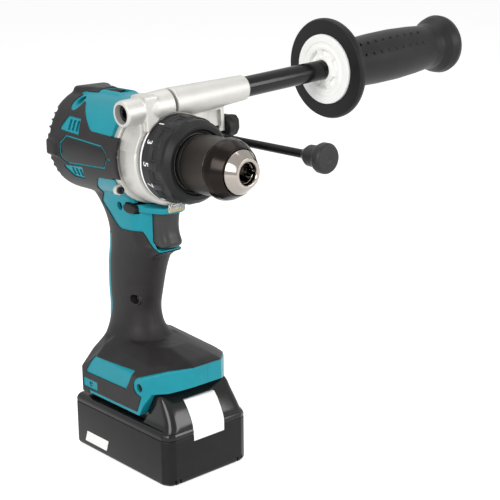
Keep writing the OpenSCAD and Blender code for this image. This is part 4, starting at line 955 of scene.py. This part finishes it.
cap = turned("dust_cap", rounded([(49.05, 12.6), (49.05, 19.9), (53.2, 19.9, 0.4), (53.6, 18.6, 0.3),
                                  (53.6, 12.6)], 0))
fit(cap, "drill_body", BLACK)

# %% [markdown]
# The mode ring in front of the torque ring chooses between screwing, drilling and hammering. It
# is one turned outline, with shallow notches cut all round it for the fingers.

# %% Mode ring
mode = turned("mode_ring_moulded", rounded([(RING_END + 0.3, 21), (RING_END + 0.3, 29.4, 0.8),
                                            (48, 28.8, 1.2), (52, 25.6, 0.8), (52, 22.7, 0.5), (49.6, 22.1),
                                            (49.4, 20.4)], 0.3))
notches = []
for k in range(3):
    notch = soften(block("notch", (RING_END + 1.5, -4, A + 28.2), (48.6, 4, A + 33)), 0.8, 2)
    notches.append(moved(notch, turn(120 * k + 20)))
fit(cut(mode, *notches), "mode_ring", BLACK, ["mode_ring"])

# %% [markdown]
# The chuck sleeve and the ground nose are lathe work, so both are turned. Their outlines carry
# the small steps that catch the light: the groove before the bell, and the rim at the mouth.

# %% Chuck sleeve, nose and jaws
sleeve = turned("chuck_sleeve_turned", rounded([
    (54, 18.4), (54, 19.2, 0.3), (55, 20.2, 0.3), (77.6, 20.2, 0.2), (77.9, 19.5, 0.1), (78.6, 19.5, 0.1),
    (78.9, 20.9, 0.4), (80.2, 21.2, 0.5), (81.6, 21.1, 0.8), (85.2, 20.2, 2), (91.4, 17, 0.8),
    (93.1, 15.9, 0.5), (93.1, 15.3, 0.2), (91.4, 15.4), (79, 18.4)], 0), steps=128)
fit(sleeve, "chuck_sleeve", SLEEVE, ["chuck_sleeve"])

nose = turned("chuck_nose", rounded([(54.5, 6.1), (54.5, 15, 0.5), (57, 18, 0.5), (78.5, 18, 0.5),
                                     (91.5, 15, 0.5), (94.4, 15, 0.4), (100.1, 10.6, 0.4),
                                     (100.6, 10.1, 0.3), (100.6, 8, 0.5), (99.4, 7.5, 0.2), (97, 7.2),
                                     (96.8, 6.9), (62, 6.9), (62, 6.1)], 0), steps=128)
jaw_rods = []
for a in (30, 150, 270):
    rod = turned("jaw_bore", [(-24, 0), (-24, 3.55), (34, 3.55), (34, 0)], "Z", Vector((0, 0, 0)), 32)
    place = (Matrix.Translation(Vector((78.3, 0, A)) * MM) @ Matrix.Rotation(math.radians(a), 4, "X")
             @ Matrix.Translation(Vector((0, 0, 8.8)) * MM) @ Matrix.Rotation(math.radians(105), 4, "Y"))
    jaw_rods.append(moved(rod, place))
nose = cut(nose, *jaw_rods)
fit(nose, "spindle", CHROME, ["chuck_body"])

# %% [markdown]
# The side handle hangs on a cast clamp of two jaws. A casting has no sharp inner corners, so
# the rough forms are joined, melted into one and smoothed, and the bores are cut afterwards,
# because those are machined. The handle is modelled level and then tilted about the spindle.

# %% Clamp jaws
TILT = 3.6
BAR = Vector((18.9, 0, A + 36.4))
BOSS, TUBE = 9.2, 10.8


def on_bar(piece):
    return moved(piece, turn(TILT))


def disc(name, radius, start, end, **more):
    return turned(name, [(start, 0), (start, radius), (end, radius), (end, 0)], **more)


def grip_arc(name, ymin, ymax, profile):
    """Half of the arc that grips the nose."""
    arc = soften(turned(name, profile), 0.35, 2, 30)
    return cut(arc, block("keep", (0, ymin, A - 60), (40, ymax, A + 60)), how="INTERSECT")


def clamp_half(name, ymin, ymax, extras):
    """The arc joined with its rough forms and melted. The arc is then set in again, crisp, and bored."""
    rough = grip_arc("rough_arc", ymin, ymax, [(4.6, 29), (4.6, 34.3), (24.2, 34.3), (24.2, 29)])
    piece = melt(cut(rough, *extras, how="UNION"), 0.45, 4)
    piece.name = piece.data.name = name
    piece = cut(piece, block("low", (0, -60, A - 60), (60, 60, A + 9)))
    crisp = grip_arc("crisp_arc", ymin, ymax, [(4.6, 29), (4.6, 32.8), (5.4, 33.5), (11.6, 33.5),
                                               (12.1, 34.3), (22.9, 34.3), (24.2, 33.1), (24.2, 29)])
    piece = cut(piece, crisp, how="UNION")
    return cut(piece, disc("seat", 30.06, 0, 26), disc("ring_room", 32.6, 24.3, 60))


def bar_turned(name, outline, steps=72):
    return turned(name, outline, "Y", BAR, steps)


saddle = plate("saddle", [(-27, A + 14), (0.4, A + 14), (0.4, A + 40), (-14, A + 40), (-20, A + 36.4),
                          (-27, A + 32)], BAR.x - BOSS, 24.2, axis="X")
pad = soften(block("pad", (BAR.x - 8, -24, A + 22), (BAR.x + 9.5, -13, A + 46.4)), 1.2, 3)
boss = bar_turned("boss", rounded([(-38.5, 0), (-38.5, BOSS - 0.4, 0.8), (-36.8, BOSS, 0.3),
                                   (-20, BOSS, 1.5), (-14.5, TUBE, 1.5), (0.4, TUBE + 0.6, 0.4), (0.4, 0)],
                                   0))
jaw_right = clamp_half("clamp_right", -60, 0.4, [saddle, pad, boss])
jaw_right = cut(jaw_right, bar_turned("bolt_bore", [(-40, 0), (-40, 6.8), (-28, 6.8), (-28, 4.05),
                                                    (6, 4.05), (6, 0)]))
fit(on_bar(jaw_right), "handle_clamp", CAST, ["clamp_jaw_right"])

arm = plate("arm", [(2.8, A + 14), (28, A + 14), (28, A + 36), (2.8, A + 42)], BAR.x - BOSS, 24.2, axis="X")
tube = bar_turned("tube", rounded([(2.8, 0), (2.8, TUBE + 0.6, 0.6), (71, TUBE - 1.6, 0.8), (71, 0)], 0))
web = plate("web", rounded([(20, A + 36.4), (51.2, A + 36.4), (51.2, A + 5), (48.8, A - 1), (41.8, A - 2),
                            (26, A - 16), (22, A - 20)], 1.5), 8.6, 20.4, axis="X")
jaw_left = clamp_half("clamp_left_cast", 2.8, 60, [arm, tube, web])
panel = plate("web_panel", rounded([(34, A + 25), (47.8, A + 25), (47.8, A + 13), (39, A + 3),
                                    (36.5, A + 9)], 1.5),
              17.6, 26, axis="X")
jaw_left = cut(jaw_left, bar_turned("pipe_bore", [(0, 0), (0, 4.05), (40, 4.05), (40, 7.65), (73, 7.65),
                                                  (73, 0)]),
               soften(panel, 0.8, 2), disc("rod_bore", 3.05, 0, 40, centre=Vector((0, 44.8, A + 5)),
                                           steps=40),
               turned("screw_bore", [(39, 0), (39, 2.55), (60, 2.55), (60, 0)], "Y",
                      Vector((16.4, 0, A + 10.6)), 40))
fit(on_bar(jaw_left), "clamp_left", CAST, ["clamp_jaw_left"])

socket = bar_turned("socket", rounded([(-35, 0), (-35, 6.2, 0.8), (-28.1, 6.5, 0.3), (-28.1, 0)], 0), 48)
socket = cut(socket, bar_turned("hex_socket", [(-36, 0), (-36, 4.3), (-30.5, 4.3), (-30.5, 0)], 6))
bolt = cut(socket, bar_turned("shank", [(-29, 0), (-29, 4), (81, 4), (81, 0)], 48), how="UNION")
fit(on_bar(bolt), "handle_clamp", BLACK_STEEL, ["clamp_bolt"])

# %% [markdown]
# The long bar is a painted steel pipe. On it sit a white disc with windows, which indexes the
# handle, and the rubber grip with its round guard. The grip has a belly, a waist and a flared
# end so the hand can't slip off, and rows of small bumps for the fingers.

# %% Pipe, disc and grip
GUARD = 156.0
END = 298.5
pipe = bar_turned("pipe_painted", rounded([(42, 4.4), (42, 7.6, 0.5), (END - 8, 7.6), (END - 8, 0),
                                           (END - 11, 0), (END - 11, 6), (85, 6), (85, 4.4)], 0), 64)
fit(on_bar(pipe), "side_grip", PIPE, ["handle_pipe"])

disc_white = bar_turned("disc", rounded([
    (GUARD - 3.0, 7.65), (GUARD - 3.0, 9.4, 0.6), (GUARD - 0.8, 9.8, 0.3), (GUARD - 0.8, 15.0, 0.2),
    (GUARD - 1.7, 15.4, 0.3), (GUARD - 1.7, 17.6, 0.3), (GUARD - 0.9, 18.0, 0.2), (GUARD - 0.9, 20.6, 0.2),
    (GUARD - 1.6, 21.0, 0.3), (GUARD - 1.6, 26.6, 0.5), (GUARD + 1.9, 26.9, 0.2), (GUARD + 1.9, 7.65)], 0),
    96)
windows = []
for k in range(6):
    window = plate("window", rounded([(BAR.x - 3.6, BAR.z + 10.2), (BAR.x + 3.6, BAR.z + 10.2),
                                      (BAR.x + 5.4, BAR.z + 14.6), (BAR.x - 5.4, BAR.z + 14.6)], 0.6),
                   GUARD - 5, GUARD + 1.6)
    windows.append(moved(window, turn(60 * k + 12, "Y", BAR)))
fit(on_bar(cut(disc_white, *windows)), "side_grip", WHITE, ["handle_disc"])

grip = bar_turned("grip", rounded([
    (GUARD, 27), (GUARD, 37.4, 1.0), (GUARD + 2.4, 38.6, 1.4), (GUARD + 5.4, 38.4, 1.4),
    (GUARD + 6.6, 35.5, 1.5), (GUARD + 6.2, 24, 4), (GUARD + 11, 19.6, 5), (GUARD + 26, 18.8, 8),
    (GUARD + 52, 20, 12), (GUARD + 76, 20.2, 12), (END - 44, 19.2, 8), (END - 29, 17.9, 6),
    (END - 21, 18.6, 4), (END - 14.5, 22.4, 4), (END - 8.5, 23.9, 3), (END - 4, 22.8, 2),
    (END - 0.8, 18.5, 2.5), (END, 12, 2), (END, 0), (END - 8, 0), (END - 8, 7.65), (GUARD + 2, 7.65),
    (GUARD + 2, 27)], 0, 5), 96)
bumps = []
for row in (35, 65, 215, 245):
    for k in range(9):
        y = GUARD + 30 + k * 8.4
        radius = 19.0 + 1.1 * math.sin(math.pi * (k + 1) / 10)
        bump = turned("bump", rounded([(0, 0), (0, 1.3), (0.9, 1.0, 0.5), (1.1, 0)], 0, 2), "Z",
                      Vector((BAR.x, y, BAR.z + radius - 0.1)), 10)
        bumps.append(moved(bump, turn(row, "Y", BAR)))
bump_rows = join("grip_bumps", *bumps)
fit(on_bar(grip), "side_grip", GRIP, ["handle_grip"], smooth=50)
fit(on_bar(bump_rows), "side_grip", GRIP)

# %% [markdown]
# A depth rod slides through the clamp's web, and a thumb screw locks it. The screw has a round
# base with a rim and holes, and two wings that taper to their ends.

# %% Depth rod, tip and thumb screw
ROD_AXIS = Vector((0, 44.8, A + 5))
rod = turned("rod", rounded([(-30, 0), (-30, 3, 0.6), (126, 3, 0.6), (126, 0)], 0), centre=ROD_AXIS,
             steps=48)
fit(on_bar(rod), "depth_rod", ROD, ["depth_rod"])
tip = turned("tip", rounded([(108, 3.02), (108, 4.2, 0.6), (113, 7.3, 0.8), (121.6, 7.5, 0.6),
                             (122.4, 9.4, 0.8), (124.6, 10.4, 0.8), (128.6, 10.4, 0.8), (130.4, 9.2, 0.8),
                             (130.6, 3, 0.6), (129.8, 0), (126, 0), (126, 3.02)], 0), centre=ROD_AXIS,
                             steps=72)
fit(on_bar(tip), "depth_rod", TIP, ["rod_tip"], smooth=50)

KNOB = Vector((16.4, 0, A + 10.6))
base = turned("knob", rounded([(39.8, 0), (39.8, 2.5, 0.3), (51.5, 2.5), (51.5, 8.4, 0.5), (52.4, 9, 0.4),
                               (56.4, 9, 0.8), (57.6, 7.6, 0.6), (56.8, 7, 0.3), (56.8, 0)], 0), "Y", KNOB,
                               64)
holes = []
for k in range(8):
    a = math.radians(45 * k + 20)
    holes.append(turned("dimple", [(55.9, 0), (55.9, 1.0), (58, 1.0), (58, 0)], "Y",
                        KNOB + Vector((math.cos(a), 0, math.sin(a))) * 5.4, 16))
wings = plate("wings", rounded([(-8.4, 56), (8.4, 56), (7.2, 64, 2.5), (3.2, 66.6, 3), (-3.2, 66.6, 3),
                                (-7.2, 64, 2.5)], 0.5), -2.2, 2.2, axis="X")
wings = moved(wings, Matrix(((1, 0, 0, KNOB.x * MM), (0, 0, 1, 0), (0, 1, 0, KNOB.z * MM), (0, 0, 0, 1))))
knob = cut(base, *holes)
knob = cut(knob, soften(close(wings), 0.7, 3), how="UNION")
fit(on_bar(knob), "thumb_screw", BLACK, ["thumb_screw"])

# %% [markdown]
# The battery is two moulded cases. The lower one is textured and meets the upper one in a
# fine parting line. The upper one has a rounded shoulder, the rails that slide into the
# handle's foot, and a glossy wedge in front that carries the white release button.

# %% Battery lower case
PART = high("battery_lower_case").z


def plan(inset, grow_y=0.0):
    """The battery seen from above, pulled in by inset."""
    right = [(-56.5 + inset, -35.2 + inset / 2), (-54 + inset / 2, -38.2 + inset),
             (49.1 - inset / 2, -38.2 + inset), (54.1 - inset / 2, -35.6 + inset),
             (56.5 - inset, -30.8 + inset / 2)]
    points = right + [(x, -y) for x, y in reversed(right)]
    return rounded(points, 2.2, 4)


def tray(name, levels):
    """A stack of plans, each at a height and pulled in by an inset."""
    return lofted(name, [[(x, y, z) for x, y in plan(inset)] for z, inset in levels])


lower = tray("battery_case_low", [(0, 2.4), (0.4, 1.2), (1.4, 0.4), (2.6, 0), (PART - 0.9, 0),
                                  (PART - 0.35, 0.15), (PART - 0.05, 0.5)])
lower = cut(lower, tray("cell_room", [(2.4, 4.2), (PART + 5, 4.2)]))
slots = []
for y in (-31, -27, 27, 31):
    slots.append(block("foot_slot", (50.5, y - 0.9, -1), (60, y + 0.9, 4.5)))
for x in (-49.7, 49.7):
    for y in (-25.7, 25.7):
        slots.append(turned("screw_well", [(-1, 0), (-1, 2.9), (9, 2.9), (9, 0)], "Z", Vector((x, y, 0)),
                            24))
lower = cut(lower, united(*slots))
fit(lower, "battery", CASE, ["battery_lower_case"])

# %% [markdown]
# The upper case is built from its shoulder, its rail block and its wedge, joined and
# softened. The rail grooves, the terminal slots, the gauge window and the button's room are
# then cut, since in a mould they are separate steel inserts with sharp edges.

# %% Battery upper case
shoulder = tray("battery_case_top", [(PART + 0.05, 0.5), (PART + 0.35, 0.15), (PART + 0.9, 0),
                                     (PART + 2.6, 0.1), (PART + 4.4, 0.9), (PART + 5.7, 2.2),
                                     (PART + 6.3, 3.8)])
rails = plate("rails", rounded([(-46.5, -30), (37, -30), (37, 30), (-46.5, 30)], 1.5), 38, 62, axis="Z")
wedge = lofted("wedge", [[(x, y, z) for x, y in rounded([(rear, -half, 0.3), (front, -half, 8),
                                                         (front, half, 8), (rear, half, 0.3)], 0, 8)]
                         for z, rear, front, half in between([
                             [40, 23.6, 55.9, 35.6], [42, 25.4, 55.4, 34.2], [47, 28, 53.4, 33],
                             [54, 31, 49.2, 32], [60.6, 34.2, 43.6, 31], [63.2, 35, 40.4, 30]], 2)])
wedge = soften(wedge, 0.6, 3, 40)
upper = cut(shoulder, soften(rails, 0.6, 2), wedge, how="UNION")
rooms = [block("rail_groove", (-60, side * 27.2 if side > 0 else -31.5, 49.6),
               (27.5, 31.5 if side > 0 else -27.2, 53.4)) for side in (-1, 1)]
rooms += [block("terminal_slot", (-60, y - 1.1, 54.4), (-26.5, y + 1.1, 66)) for y in (-16, -5, 5, 16)]
rooms.append(block("rear_cut", (-60, -22.6, 53.4), (-44, 22.6, 66)))
BUTTON_ROOM = [(34.2, 58.6), (60, 58.6), (60, 25.7), (53.1, 25.7), (48.5, 26.7), (34.2, 42)]
rooms.append(plate("button_room", BUTTON_ROOM, -14.5, 14.5))
rooms.append(block("gauge_room", (-60, -12.3, PART - 2), (-54.1, 12.3, PART + 4.9)))
upper = cut(upper, tray("cell_room_top", [(PART - 5, 4.2), (PART + 3.4, 4.2)]),
            *[r for r in rooms if r.name.startswith("button")], united(*[r for r in rooms
                                                                        if not r.name.startswith("button")]))
fit(upper, "battery", BLACK_GLOSS, ["battery_upper_case"], smooth=30)

# %% [markdown]
# The release button is one white bar that goes over the edge of the wedge. It is cut to the
# button's outline, bevelled, and hung on its own body.

# %% Release button and gauge
button = plate("button", rounded([(41, 57.9), (46.2, 57.9, 1), (49.6, 54, 6), (53.8, 47, 6), (56.2, 41, 3),
                                  (56.9, 37), (56.9, 30.2, 1), (55.6, 29.5, 0.4), (53.5, 29.5, 0.5),
                                  (52.4, 34.6), (41, 50)], 0.4),
               -14.1, 14.1)
button = soften(button, 1.1, 4, 50)
fit(button, "release_button", WHITE, ["release_button"])

plate_low = soften(block("gauge_plate", (-56.3, -12, 35.3), (-54.1, 4, 39.4)), 0.4, 2)
lamps = [block("gauge_lamp", (-56.6, -10.6 + 3.7 * k, 36.4),
               (-56.0, -8.4 + 3.7 * k, 38.3)) for k in range(4)]
plate_low = cut(plate_low, *[soften(lamp, 0.15, 2) for lamp in lamps])
fit(plate_low, "battery", BLACK_GLOSS, ["fuel_gauge"])
glow = join("gauge_lenses", *[soften(block("lens", (-56.25, -10.5 + 3.7 * k, 36.5),
                                           (-55.8, -8.5 + 3.7 * k, 38.2)),
                                     0.15, 2) for k in range(4)])
fit(glow, "battery", LENS_CLEAR)
check = soften(block("gauge_press", (-56.8, 5.4, 35.5), (-54.9, 11.4, 39.2)), 0.5, 3)
fit(check, "gauge_button", BLACK, ["gauge_button"])

bar = plate("white_bar", rounded([(-44.4, 5), (-17.4, 5), (-14.4, 13.6), (-41.4, 13.6)], 0.4),
            -BATT_W - 0.05, -BATT_W + 0.3)
fit(bar, "battery", MARK)

# %% [markdown]
# The trigger is a hooked lever of dark nylon: a hollow front for the finger, a curl at its
# foot. Its outline is pushed to its width, its front is rounded in plan, and it slides.

# %% Trigger
FRONT = between([[162.2, 13.5, 5.4], [162.9, 19.4, 7.2], [164.3, 22.6, 8.1], [167.2, 23.6, 8.5],
                 [172.5, 21.3, 8.5], [179, 20.5, 8.5], [185, 21.2, 8.5], [188.4, 22, 8.4],
                 [189, 21.4, 8.0]], 3)
trigger = lofted("trigger_lever", [[(x, y, z) for x, y in rounded([(2, -half, 0.3), (front, -half, 6.5),
                                                                   (front, half, 6.5), (2, half, 0.3)], 0,
                                                                   8)]
                                   for z, front, half in FRONT])
trigger = cut(trigger, turned("stem", [(-12, 0), (-12, 3), (4, 3), (4, 0)], centre=Vector((0, 0, 176)),
                              steps=32),
              how="UNION")
fit(trigger, "trigger", TRIGGER, ["trigger"])

# %% [markdown]
# The reversing lever is one bar that goes through the neck, with an oval pad on each side. The
# speed lever on top is a slide with three ridges that give the thumb a hold.

# %% Levers
pads = [plate("pad", rounded([(-4 + 7 * math.cos(t), 190.5 + 3.6 * math.sin(t)) for t in
                              [2 * math.pi * k / 28 for k in range(28)]], 0),
                              *ends) for ends in ((-20.3, -12), (12, 20.3))]
pads = [soften(pad, 0.9, 4, 50) for pad in pads]
cross = block("cross_bar", (-9, -13, 190.2), (1, 13, 192.6))
lever = cut(pads[0], pads[1], cross, how="UNION")
lever.name = lever.data.name = "reverse_slide"
fit(lever, "reversing_lever", BLACK, ["reversing_lever"])

slide = soften(block("speed_slide", (-48.6, -6, 261.7), (-36, 6, 267.5)), 0.6, 3)
ridges = []
for x in (-47.6, -43.6, -39.6):
    ridges.append(plate("ridge", rounded([(x, 266), (x + 0.3, 269.2), (x + 1.7, 269.2), (x + 2, 266)], 0.4),
                        -4.9, 4.9))
slide = cut(slide, *[soften(ridge, 0.4, 2) for ridge in ridges], how="UNION")
fit(slide, "speed_lever", BLACK, ["speed_lever"])

# %% [markdown]
# The lamp under the nose is a clear window over a yellow-white diode. A clear plastic shows
# what is behind it and still mirrors the sky, so it is a smooth solid with a little frost.

# %% Lamp window
window = plate("lamp_window", rounded([(24.9, 190.6), (26.6, 190.6), (27.8, 193.4), (27.8, 195.8),
                                       (24.9, 195.8)], 0.4),
               -7.2, 7.2)
corners = plate("corners", rounded([(20, -7.2, 0), (27.8, -7.2, 3), (27.8, 7.2, 3), (20, 7.2, 0)], 0, 6),
                180, 200, axis="Z")
window = cut(window, corners, how="INTERSECT")
fit(soften(window, 0.4, 3), "drill_body", LENS_CLEAR, ["led_lens"])
diode = soften(block("diode", (24.3, -1.6, 191.4), (24.88, 1.6, 194.0)), 0.2, 2)
fit(diode, "drill_body", MARK)

# %% [markdown]
# Screws, bearings, gears, windings, boards and cells are exact in the CAD already. They stay as they
# are, and only get the finish of their metal, copper, board or wrap.

# %% Finishes of the pieces that stay
STAY = {STEEL: ["planet_1a", "planet_1b", "planet_1c", "planet_2a", "planet_2b", "planet_2c", "ring_gear",
                "motor_shaft", "spindle", "carrier_1", "jaw_a", "jaw_b", "jaw_c", "jaw_nut", "hook_nuts",
                "motor_bearings", "spindle_bearing"],
        BLACK_STEEL: ["housing_screws", "battery_screws", "chuck_screw"],
        CORE: ["stator", "rotor"], COPPER: ["stator_coils"], BRASS: ["terminal_block", "battery_terminals"],
        BOARD: ["controller_board", "battery_board"], LAMP_BOARD: ["led_board"],
        CELL_WRAP: ["battery_cells"], BLACK: ["fan", "switch_unit"]}
for finish, nodes in STAY.items():
    for node in nodes:
        for name in [n for n in bpy.data.objects.keys() if n == node or n.startswith(node + ".")]:
            piece = bpy.data.objects[name]
            for slot in piece.material_slots:
                slot.material = finish
print(sum(len(nodes) for nodes in STAY.values()), "nodes keep their CAD shape")
